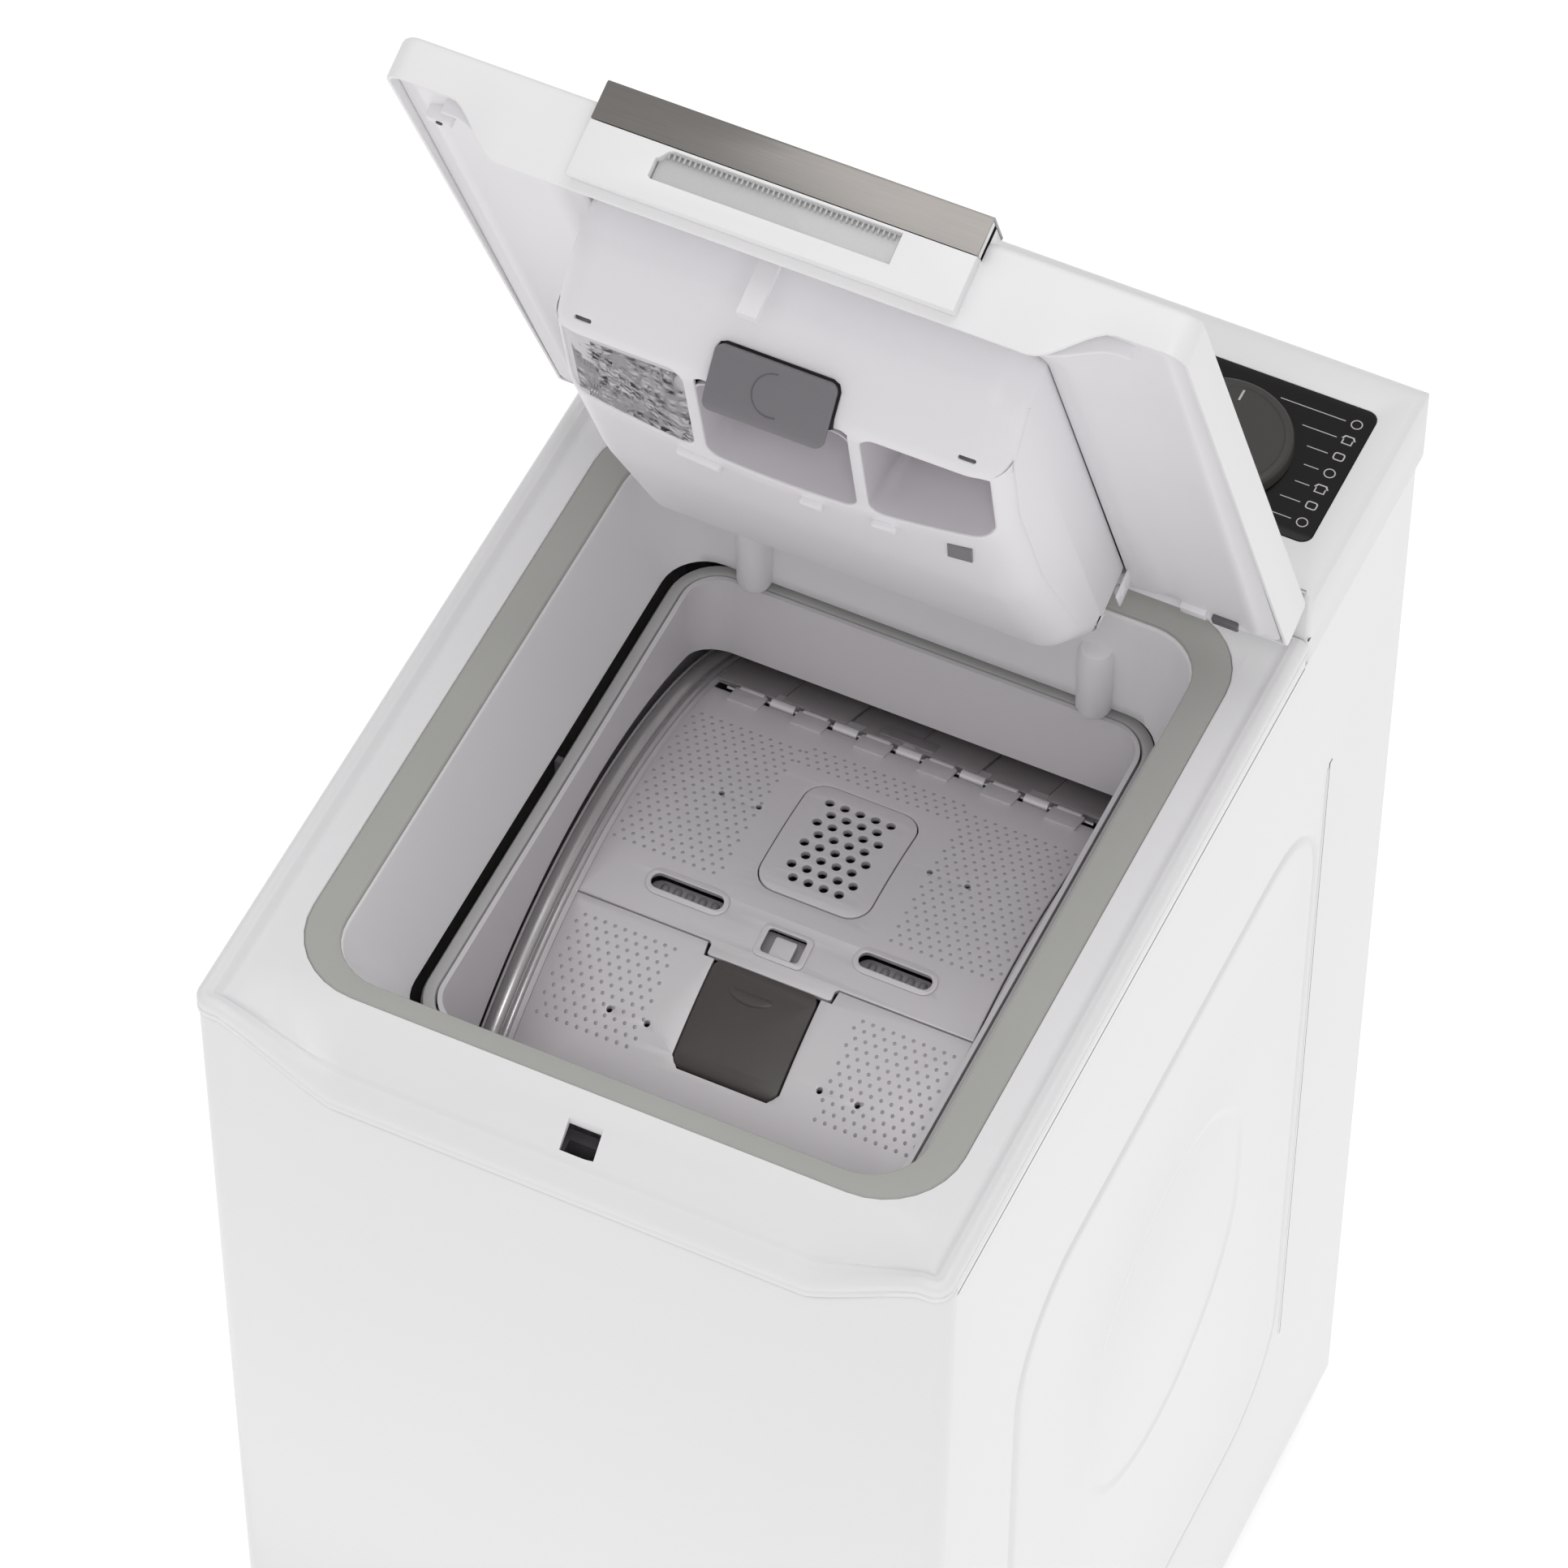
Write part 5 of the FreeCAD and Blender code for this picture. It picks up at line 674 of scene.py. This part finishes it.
def make_liner():
    bm = bmesh.new()
    edge = (-HALF + 3, HALF - 3, LID_FRONT + 3, LID_REAR - 3, 9)
    bay = (-TRAY_HALF - 0.8, TRAY_HALF + 0.8, -209, 115, 15)

    def border(by, z):
        return (edge[0] + by, edge[1] - by, edge[2] + by, edge[3] - 0.35 * by, max(9 - 0.3 * by, 2), z)

    def around(by, z):
        return (bay[0] - by, bay[1] + by, bay[2] - by, bay[3] + 0.12 * by, 15, z)

    rings = [
        border(0, LINER_Z), border(7, LINER_Z), border(9, LINER_Z - 1.4), border(12, LINER_Z - 2),
        border(16, LINER_Z - 1.2), border(22, LINER_Z + 0.2), around(26, LINER_Z), around(22, LINER_Z - 1.6),
        around(15, LINER_Z - 2.4), around(9, LINER_Z - 1.4), around(4, LINER_Z), around(0.6, LINER_Z),
        around(0, LINER_Z + 0.6), around(0, LINER_Z + 9), around(1, LINER_Z + 9), around(1.6, LINER_Z + 2),
        border(0, LINER_Z + 2),
    ]
    loft(bm, rings, closed=True)
    ears = [block(side * 118.2 - 0.7, side * 118.2 + 0.7, 99, 113, 857, LINER_Z + 1, 0.6) for side in (-1, 1)]
    rib = block(-172, 172, -279, -276, 863.5, LINER_Z + 0.5, 0.8)
    cuts(rib, "x", mirrored(SKIRT_CUTS))
    for vert in rib.verts:
        if vert.co.z < LID_LOW:
            vert.co.z -= 12 * ease((SKIRT_END - abs(vert.co.x)) / (SKIRT_END - SKIRT_FLAT))
    clip = block(-184, -171, -262, -256, 864, LINER_Z + 0.5, 1)
    make(opened(join(bm, rib, clip, *ears)), "lid_inner_moulding", "lid", PP, "liner_plastic", "lid_liner",
         sharp=50)
    # A black disc on the clip, painted as the shade in the clip's hole.
    dot = rod("Z", -177, -259, 863.4, 1.7, 0.8, edge=0.2, count=16)
    make(opened(dot), "liner_clip_hole_shade", "lid", BLACK_PP, "liner_plastic")
    lugs = [block(x - 7, x + 7, 120, 128, 869, 874, 1) for x in (151, -151)]
    make(opened(join(*lugs)), "lid_hinge_lugs", "lid", PP, "liner_plastic")
    pads = [block(x - 7, x + 7, 121, 128, 869, 872.5, 0.8) for x in (168, -168)]
    make(opened(join(*pads)), "lid_stop_pads", "lid", GREY_PP, "liner_plastic")


def make_handle():
    # Half its width, how far ahead of the machine's middle its face is, and its top.
    half, front, top = 96, 306, 897
    low, strip_low, skin = top - 48, top - 20, 1.5
    seam = strip_low - 0.3
    hole = [(-60, low + 11.5), (-58.5, low + 10.5), (60, low + 10.5), (60, seam - 1.6), (-53, seam - 1.6),
            (-55.5, seam - 2.6), (-58.6, seam - 6.6), (-60, seam - 7.4)]
    face = upright(plate([(-half, low), (half, low), (half, seam), (-half, seam)], [hole],
                         front - 7, front, 0.6))
    side = half - 0.3
    seat = [(-side, low + 1), (side, low + 1), (side, top - skin), (-side, top - skin)]
    back = upright(plate(seat, (), -LID_FRONT - 1, front - 7, 0.2))
    brow = block(-side, side, -front + skin, LID_FRONT + 16, strip_low + 1, top - skin, 0.2)
    make(opened(join(face, back, brow)), "handle_block", "lid", ABS, "white_plastic", "lid_handle", sharp=40)
    outline = [(-front, strip_low), (-front, top - 2), (-front + 0.6, top - 0.6), (-front + 2, top),
               (LID_FRONT + 16, top), (LID_FRONT + 16, top - skin), (-front + 2.4, top - skin),
               (-front + skin, top - 2.6), (-front + skin, strip_low)]
    strip = across(plate(outline, (), -half, half, 0.18))
    make(opened(strip), "brushed_strip", "lid", BRUSHED, "strip_metal", "handle_strip", sharp=30)
    dot = rod("Z", half - 2.4, LID_FRONT + 11, top - 0.1, 0.9, 0.35, edge=0.08, count=14)
    make(opened(dot), "strip_pin_mark", "lid", GREY_PP, "strip_metal")
    lower, upper = low + 11, low + 27
    floor = upright(plate(rounded(-59.4, 59.4, lower, upper, 0.8, 3), (), front - 7, front - 5, 0.4))
    teeth = []
    for index in range(44):
        x = -56 + index * 2.6
        teeth.append(block(x, x + 1.1, -front + 2.2, -front + 5.4, upper - 4.2, upper - 0.4, 0.35, 1))
    ledge = block(-59, 59, -front + 2.6, -front + 5.4, upper - 1.6, upper - 0.2, 0.3)
    make(opened(join(floor, ledge, *teeth)), "grip_insert", "lid", SMOKE, "grey_plastic", "handle_grip")


# The tray's outline from its front edge round its belly to its rear, on the closed lid.
TRAY_PATH = ((-208, 872), (-206, 846), (-184, 812), (-105, 797.5), (-40, 801), (64, 811),
             (113, 834), (114, 872))
TRAY_RUNS = [math.dist(here, there) for here, there in zip(TRAY_PATH, TRAY_PATH[1:])]
CREST = sum(TRAY_RUNS[:2])
MOUTH_END = sum(TRAY_RUNS[:3])
TRAY_LENGTH = sum(TRAY_RUNS)
CORNER_ROUND = 18
# The outline's bends are softened over this distance either way.
SOFTEN = 4
# A corner keeps its curve down to this depth under the skin; deeper shapes go straight in.
CURVE_DEPTH = 3
MOUTHS = [(-111, -45), (-39, 39), (45, 111)]
KEY_START, KEY_END = TRAY_RUNS[0] + 19, TRAY_RUNS[0] + 52
# The release button lies flat, in line with the outline at this place.
KEY_PLANE = CREST - 6


def tray_point(x, along):
    """A point of the outline; the lip under the mouths lies nearer to the crest at the tray's sides."""
    points = [Vector(point) for point in TRAY_PATH]
    bow = 1 - 0.3 * min(abs(x) / TRAY_HALF, 1) ** 2
    points[3] = points[2] + (points[3] - points[2]) * bow
    for index, run in enumerate(TRAY_RUNS):
        if along <= run or index == len(TRAY_RUNS) - 1:
            return points[index].lerp(points[index + 1], along / run)
        along -= run


def tray_line(x, along):
    """The outline's softened point at a distance along it, and its direction there."""
    before, after = tray_point(x, along - SOFTEN), tray_point(x, along + SOFTEN)
    return (before + after) / 2, (after - before).normalized()


def wrap_tray(bm, flat=None):
    """Lays a shape drawn in x and distance along the outline on the tray; its height stands outward."""
    for vert in bm.verts:
        x, along, height = vert.co
        beyond = abs(x) - (TRAY_HALF - CORNER_ROUND)
        if beyond > 0:
            angle = min(beyond / CORNER_ROUND, math.pi / 2)
            radius = CORNER_ROUND + max(height, -CURVE_DEPTH)
            x = math.copysign(TRAY_HALF - CORNER_ROUND + radius * math.sin(angle), x)
            height = radius * math.cos(angle) - CORNER_ROUND + min(height + CURVE_DEPTH, 0)
        if flat is None:
            base, tangent = tray_line(x, along)
        else:
            before, after = tray_point(x, flat - SOFTEN), tray_point(x, flat)
            tangent = (after - before).normalized()
            base = after + tangent * (along - flat)
        outward = Vector((tangent.y, -tangent.x))
        spot = base + outward * height
        vert.co = (x, spot.x, spot.y)
    return bm


def make_tray_body():
    wide = TRAY_HALF - CORNER_ROUND + CORNER_ROUND * math.pi / 2
    holes = [rounded(low, high, CREST + 1.5, MOUTH_END - 5, 8) for low, high in MOUTHS]
    # The middle mouth runs on into the bay that the release button sinks into.
    lower = [point for point in holes[1] if point[1] > CREST + 12]
    holes[1] = [*lower, (-39, CREST + 3), (-36, CREST + 1.5), (-31.9, CREST + 1.5), (-31.9, KEY_START + 4),
                (-30.4, KEY_START + 0.5), (-27, KEY_START - 0.9), (27, KEY_START - 0.9),
                (30.4, KEY_START + 0.5), (31.9, KEY_START + 4), (31.9, CREST + 1.5), (36, CREST + 1.5),
                (39, CREST + 3)]
    slits = [rounded(x - 4.5, x + 4.5, CREST - 9, CREST - 7, 0.9, 3) for x in (-98, 98)]
    outline = [(-wide, -2), (wide, -2), (wide, TRAY_LENGTH), (-wide, TRAY_LENGTH)]
    skin = plate(outline, [*holes, *slits], -2.5, 0, 0.7)
    cuts(skin, "y", [3 * step - 1 for step in range(1, int(TRAY_LENGTH / 3))])
    cuts(skin, "x", [side * (TRAY_HALF - CORNER_ROUND + 3.1 * step) for step in range(9) for side in (-1, 1)])
    cuts(skin, "x", steps(-96, 96, 12))
    wrap_tray(skin)
    sides = []
    for side in (-1, 1):
        outline = []
        for step in range(64):
            base, tangent = tray_line(TRAY_HALF, TRAY_LENGTH * step / 63)
            spot = base - Vector((tangent.y, -tangent.x)) * (CORNER_ROUND - 1)
            outline.append((spot.x, spot.y))
        low, high = sorted((side * (TRAY_HALF - 2.5), side * TRAY_HALF))
        sides.append(across(plate(outline, (), low, high, 0.3)))
        pivot = TRAY_HALF - 1 if side > 0 else -TRAY_HALF - 3.4
        sides.append(rod("X", pivot, 106, 863, 2.9, 4.4, count=24))
    clips = []
    for x, width in ((-44, 22), (14, 11), (52, 12)):
        clips.append(block(x - width / 2, x + width / 2, MOUTH_END + 2, MOUTH_END + 9, -1, 3.2, 1))
    lip = wrap_tray(join(*clips))
    make(opened(join(skin, *sides, lip)), "dispenser_body", "tray", PP, "liner_plastic", "dispenser_tray",
         sharp=45)


def make_pockets():
    tubs = []
    for low, high in MOUTHS:
        mouth = (low, high, CREST + (6 if low < 0 < high else 1.5), MOUTH_END - 5, 8)
        bm = bmesh.new()
        rings = [inset(mouth, 3.4, -45.2), inset(mouth, -1.2, -1.2), inset(mouth, 0.1, -1.2),
                 inset(mouth, 0.6, -6), inset(mouth, 1.4, -20), inset(mouth, 4.6, -44)]
        loft(bm, rings, caps=(True, True))
        cuts(bm, "y", steps(CREST, MOUTH_END, 5))
        cuts(bm, "x", steps(low, high, 6))
        wrap_tray(bm)
        # The faces of so hollow a shape may all turn inward, and then its volume is negative.
        bmesh.ops.recalc_face_normals(bm, faces=bm.faces)
        if bm.calc_volume(signed=True) < 0:
            bmesh.ops.reverse_faces(bm, faces=bm.faces)
        tubs.append(bm)
    # The pockets take the polypropylene painted darker as shade in the recesses.
    make(opened(join(*tubs)), "detergent_pockets", "tray", POCKET_SHADE_PP, "liner_plastic", sharp=50, recalc=False)
    window = plate([(84, MOUTH_END + 9), (97, MOUTH_END + 9), (94, MOUTH_END + 26), (81, MOUTH_END + 26)],
                   (), -0.4, 0.9, 0.2)
    cuts(window, "y", steps(MOUTH_END + 9, MOUTH_END + 26, 2))
    cuts(window, "x", steps(81, 97, 3))
    wrap_tray(window)
    make(opened(window), "dosing_window", "tray", BUTTON, "liner_plastic")


def make_release_button():
    # A black plate under the button, painted as the shade seen in the gap round it.
    gap = plate(rounded(-33, 33, KEY_START - 2, CREST + 3, 5), (), -4.6, -3.6, 0.1)
    make(opened(wrap_tray(gap, flat=KEY_PLANE)), "button_gap_shade", "tray", BLACK_PP, "liner_plastic")
    key = plate(rounded(-31, 31, KEY_START, KEY_END, 4.6), (), 0.6, 4.4, 0.7)
    cuts(key, "y", [KEY_END - 9, KEY_END - 7])
    for vert in key.verts:
        if vert.co.y > KEY_END - 8:
            vert.co.z -= (vert.co.y - KEY_END + 8) * 0.14
    arc = bmesh.new()
    made = bmesh.ops.create_circle(arc, segments=8, radius=0.35)
    bmesh.ops.rotate(arc, cent=(0, 0, 0), matrix=Matrix.Rotation(math.pi / 2, 3, "Y"), verts=made["verts"])
    shift(arc, 0, 10.5, 0)
    bmesh.ops.spin(arc, geom=[*arc.verts, *arc.edges], cent=(0, 0, 0), axis=(0, 0, 1),
                   angle=math.radians(200), steps=40)
    bmesh.ops.holes_fill(arc, edges=[item for item in arc.edges if item.is_boundary], sides=0)
    bmesh.ops.rotate(arc, cent=(0, 0, 0), matrix=Matrix.Rotation(math.radians(-20), 3, "Z"), verts=arc.verts)
    shift(arc, 2, (KEY_START + KEY_END) / 2 - 1, 4.4)
    wrap_tray(key, flat=KEY_PLANE)
    make(opened(key), "release_button", "tray_button", BUTTON, "grey_plastic", "dispenser_button")
    make(opened(wrap_tray(arc, flat=KEY_PLANE)), "button_ring_mark", "tray_button", GREY_PP, "grey_plastic")


# ---------------------------------------------------------------- console


CONSOLE_TOP = GLASS_HIGH.z
# The console's upper rear edge is rounded with this radius.
REAR_ROUND = 12
KNOB_LOW, KNOB_HIGH = corner("program_knob")
KNOB_X, KNOB_Y = (KNOB_LOW.x + KNOB_HIGH.x) / 2, (KNOB_LOW.y + KNOB_HIGH.y) / 2
KNOB_R = (KNOB_HIGH.x - KNOB_LOW.x) / 2


def make_console():
    bm = bmesh.new()
    y0, y1 = CONSOLE_FRONT, CONSOLE_HIGH.y
    low, top = CONSOLE_LOW.z, CONSOLE_TOP
    body = (CONSOLE_LOW.x, CONSOLE_HIGH.x, y0, y1, 3)
    glass = (GLASS_LOW.x - 0.4, GLASS_HIGH.x + 0.4, GLASS_LOW.y - 0.4, GLASS_HIGH.y + 0.4, 6.4)

    def level(by, z):
        return (*inset(body, by, z), 6)

    rings = [
        level(2.5, top - 6), level(2.5, low + 0.4), level(1.4, low), level(0.5, low + 0.1),
        level(0, low + 0.8), level(0, top - 4.5), level(0.5, top - 3.4), level(1.2, top - 2.9),
        level(2.2, top - 0.9), level(3.2, top - 0.2), level(4.4, top), inset(glass, -0.5, top),
        inset(glass, 0, top - 0.4), inset(glass, 0, top - 3),
    ]
    loft(bm, rings, caps=(True, True))
    cuts(bm, "y", [y1 - back for back in (REAR_ROUND, 9.5, 7, 4.6, 2.6, 1.2)])
    for vert in bm.verts:
        beyond = vert.co.y - (y1 - REAR_ROUND)
        if beyond > 0 and vert.co.z > top - REAR_ROUND:
            arc = math.sqrt(max(REAR_ROUND ** 2 - beyond ** 2, 0))
            vert.co.z = min(vert.co.z, top - REAR_ROUND + arc)
    make(bm, "console_cover", "cabinet", ABS, "white_plastic", "console_housing", sharp=50)
    glass = plate(rounded(GLASS_LOW.x, GLASS_HIGH.x, GLASS_LOW.y, GLASS_HIGH.y, 6), (), top - 2.9, top, 0.3)
    make(glass, "control_glass", "cabinet", GLASS, "black_glass", "display_glass")


def make_marks():
    """A line and a plain sign for each programme, printed beside the knob."""
    low, high = CONSOLE_TOP - 0.05, CONSOLE_TOP + 0.06
    line_end, sign = KNOB_X + 51.5, KNOB_X + 57.5
    marks = []
    for index in range(7):
        y = KNOB_Y + 41 - 11.6 * index
        start = KNOB_X + math.sqrt(max((KNOB_R + 6) ** 2 - (y - KNOB_Y) ** 2, 90))
        line = [(start, y - 0.25), (line_end, y - 0.25), (line_end, y + 0.25), (start, y + 0.25)]
        marks.append(plate(line, (), low, high))
        if index % 3 == 0:
            outer, inner = disc(sign, y, 3.1, 16), disc(sign, y, 2.5, 16)
        elif index % 3 == 1:
            outer = [(sign + right, y + up) for right, up in (
                (-2.8, -2.6), (2.8, -2.6), (2.8, 0.8), (3.9, 0.8), (2.4, 3.2), (-2.4, 3.2), (-3.9, 0.8),
                (-2.8, 0.8))]
            inner = [(sign + (a - sign) * 0.76, y + (b - y) * 0.76) for a, b in outer]
        else:
            outer = rounded(sign - 3, sign + 3, y - 2.4, y + 2.8, 1.6, 4)
            inner = rounded(sign - 2.3, sign + 2.3, y - 1.7, y + 2.1, 1, 4)
        marks.append(plate(outer, [inner], low, high))
    make(join(*marks), "programme_marks", "cabinet", PRINT, "black_glass")


def make_knob():
    bm = bmesh.new()
    x, y, radius = KNOB_X, KNOB_Y, KNOB_R
    low, high = CONSOLE_TOP + 0.6, KNOB_HIGH.z
    outline = [(0.01, low), (radius - 0.6, low), (radius, low + 0.8), (radius - 0.5, high - 2.2),
               (radius - 1.4, high - 0.6), (radius - 2.6, high), (radius - 5, high),
               (radius - 5.8, high - 0.7), (0.01, high - 0.7)]
    verts = [bm.verts.new((r, 0, z)) for r, z in outline]
    for here, there in zip(verts, verts[1:]):
        bm.edges.new((here, there))
    bmesh.ops.spin(bm, geom=[*bm.verts, *bm.edges], cent=(0, 0, 0), axis=(0, 0, 1), angle=math.tau, steps=96,
                   use_merge=True)
    bmesh.ops.remove_doubles(bm, verts=bm.verts, dist=0.03)
    shift(bm, x, y, 0)
    make(bm, "turning_knob", "knob", KNOB, "knob_plastic", "program_knob")
    pointer = block(x - 0.6, x + 0.6, y + radius - 14, y + radius - 7, high - 0.75, high - 0.5, 0.1)
    make(pointer, "knob_pointer", "knob", PRINT, "knob_plastic")


def make_clip_gap_shade():
    """Dark grey blocks painted as the shade in the gap round the clip at the console's right front corner."""
    y, z = CONSOLE_FRONT, CONSOLE_LOW.z
    gap = [block(HALF - 0.9, HALF - 0.05, y - 0.6, y + 9, z + 19.2, z + 20, 0.2),
           block(HALF - 0.9, HALF - 0.05, y + 8.4, y + 9.2, z + 16, z + 20, 0.2)]
    make(join(*gap), "console_clip_gap_shade", "cabinet", GREY_PP, "white_plastic")


# ---------------------------------------------------------------- front and side panels


def make_front_panel():
    low, high = corner("front_panel")
    body = (low.x, high.x, low.y, high.y, 10)
    bm = bmesh.new()
    rings = [(*inset(body, by, z), 0.8) for by, z in (
        (0.6, low.z), (0, low.z + 0.6), (0, high.z - 3.4), (0.3, high.z - 2), (1, high.z - 0.8),
        (2.2, high.z - 0.2), (3.4, high.z))]
    loft(bm, rings, caps=(True, True))
    cuts(bm, "x", mirrored(DIP_CUTS))
    for vert in bm.verts:
        if vert.co.z > high.z - 10:
            vert.co.z -= dip_at(vert.co.x, FRONT)
    make(bm, "front_sheet", "cabinet", ENAMEL, "white_steel", "front_panel", sharp=50)


# The two shapes pressed in each side, as y0, y1, z0, z1 and corner radius: a field with an oval in it.
SIDE_FIELD = (-197, 178, 157, 697, 64)
SIDE_OVAL = (-98, 98, 351, 579, 97)


def make_sides():
    for side, body_name in ((1, "right_side_panel"), (-1, "left_side_panel")):
        low, high = corner(body_name)
        console = CONSOLE_LOW.z - 0.6
        face = HALF - 0.6
        field, oval = SIDE_FIELD, SIDE_OVAL
        bm = bmesh.new()
        sheet = (low.y, high.y, low.z, console, 1.5)
        rings = [inset(outline, by, face + out) for outline, by, out in (
            (sheet, 0.3, -2.4), (sheet, 0, -1), (sheet, 0.4, 0), (field, -5, 0), (field, -2.6, -0.2),
            (field, -1.2, -1.1), (field, 0.4, -1.1), (field, 2, 0.1), (field, 5, 0.5), (field, 10, 0.5),
            (field, 15, 0), (oval, -9, 0), (oval, -5, 0.4), (oval, -2.5, 0.55), (oval, 0, 0.4),
            (oval, 2.2, -0.3), (oval, 5, -0.3), (oval, 8, 0))]
        loft(bm, rings, caps=(True, True))
        across(bm)
        upper = block(face - 2.4, face, low.y + 0.2, CONSOLE_FRONT - 0.8, console - 2, high.z, 0.5)
        seam = block(face - 0.5, face + 0.5, 184.5, 186.7, 182, 706, 0.45)
        whole = join(bm, upper, seam)
        # Beside the ridge, a thin grey strip painted as the shadow in the seam's groove.
        line = join(block(face - 0.3, face + 0.15, 187, 188.2, 180, 709, 0.2),
                    block(face - 0.3, face + 0.15, 187, 191, 707.6, 709, 0.2))
        if side < 0:
            for shape in (whole, line):
                bmesh.ops.scale(shape, vec=(-1, 1, 1), verts=shape.verts)
        make(whole, body_name.replace("panel", "pressing"), "cabinet", ENAMEL, "white_steel", body_name,
             sharp=60)
        make(line, body_name.replace("panel", "seam"), "cabinet", GREY_PP, "white_steel")


# ---------------------------------------------------------------- scene


# The camera, in metres: its place, the way it looks, its roll in degrees and its lens in millimetres.
CAMERA_PLACE = Vector((1.06292, -2.30719, 4.13599))
CAMERA_AHEAD = Vector((-0.257934, 0.548223, -0.795564))
CAMERA_ROLL = 0.212
CAMERA_LENS = 192.71
# Strengths of the white surroundings and of the floor's own glow.
WORLD_LIGHT, FLOOR_GLOW = 0.55, 0.74


def make_camera():
    data = bpy.data.cameras.new("camera")
    data.lens = CAMERA_LENS
    data.sensor_width = 36
    camera = bpy.data.objects.new("camera", data)
    bpy.context.scene.collection.objects.link(camera)
    ahead = CAMERA_AHEAD.normalized()
    right = ahead.cross(Vector((0, 0, 1))).normalized()
    up = right.cross(ahead)
    roll = math.radians(CAMERA_ROLL)
    rightward = right * math.cos(roll) + up * math.sin(roll)
    upward = up * math.cos(roll) - right * math.sin(roll)
    matrix = Matrix((rightward, upward, -ahead)).transposed().to_4x4()
    matrix.translation = CAMERA_PLACE
    camera.matrix_world = matrix
    data.clip_end = 50
    bpy.context.scene.camera = camera


def make_light(name, place, aim, size, power):
    """A round lamp of that width in metres and power in watts, turned to its aim."""
    data = bpy.data.lights.new(name, "AREA")
    data.shape = "DISK"
    data.size = size
    data.energy = power
    light = bpy.data.objects.new(name, data)
    bpy.context.scene.collection.objects.link(light)
    light.location = place
    light.rotation_euler = (Vector(aim) - Vector(place)).to_track_quat("-Z", "Y").to_euler()


def make_studio():
    scene = bpy.context.scene
    scene.view_settings.view_transform = "Standard"
    world = bpy.data.worlds.new("studio")
    scene.world = world
    world.use_nodes = True
    back = world.node_tree.nodes["Background"]
    back.inputs["Color"].default_value = linear("#FFFFFF")
    back.inputs["Strength"].default_value = WORLD_LIGHT
    bm = bmesh.new()
    bmesh.ops.create_circle(bm, cap_ends=True, segments=64, radius=7)
    mesh = bpy.data.meshes.new("floor")
    bm.to_mesh(mesh)
    bm.free()
    floor = bpy.data.objects.new("floor", mesh)
    scene.collection.objects.link(floor)
    pale = bpy.data.materials.new("pale_floor")
    pale.use_nodes = True
    shader = pale.node_tree.nodes["Principled BSDF"]
    shader.inputs["Base Color"].default_value = linear("#BCBCBC")
    shader.inputs["Roughness"].default_value = 0.9
    shader.inputs["Emission Color"].default_value = linear("#FFFFFF")
    shader.inputs["Emission Strength"].default_value = FLOOR_GLOW
    mesh.materials.append(pale)
    make_light("key", (-1.6, -2.2, 3.6), (0, 0, 0.7), 2.4, 7)
    make_light("top", (0.3, 0.4, 3.4), (0, 0, 0.8), 2.2, 14)
    make_light("side", (3.0, -1.0, 1.6), (0, 0, 0.6), 2.0, 2)
    make_light("fill", (1.0, -2.2, 3.9), (0, 0, 0.75), 1.2, 22)


paint_nodes()
make_camera()
make_studio()
make_top_plate()
make_seals()
make_rear_flap()
make_front_flap()
make_drum_trim()
make_lid_cover()
make_liner()
make_handle()
make_tray_body()
make_pockets()
make_release_button()
make_console()
make_marks()
make_knob()
make_clip_gap_shade()
make_front_panel()
make_sides()
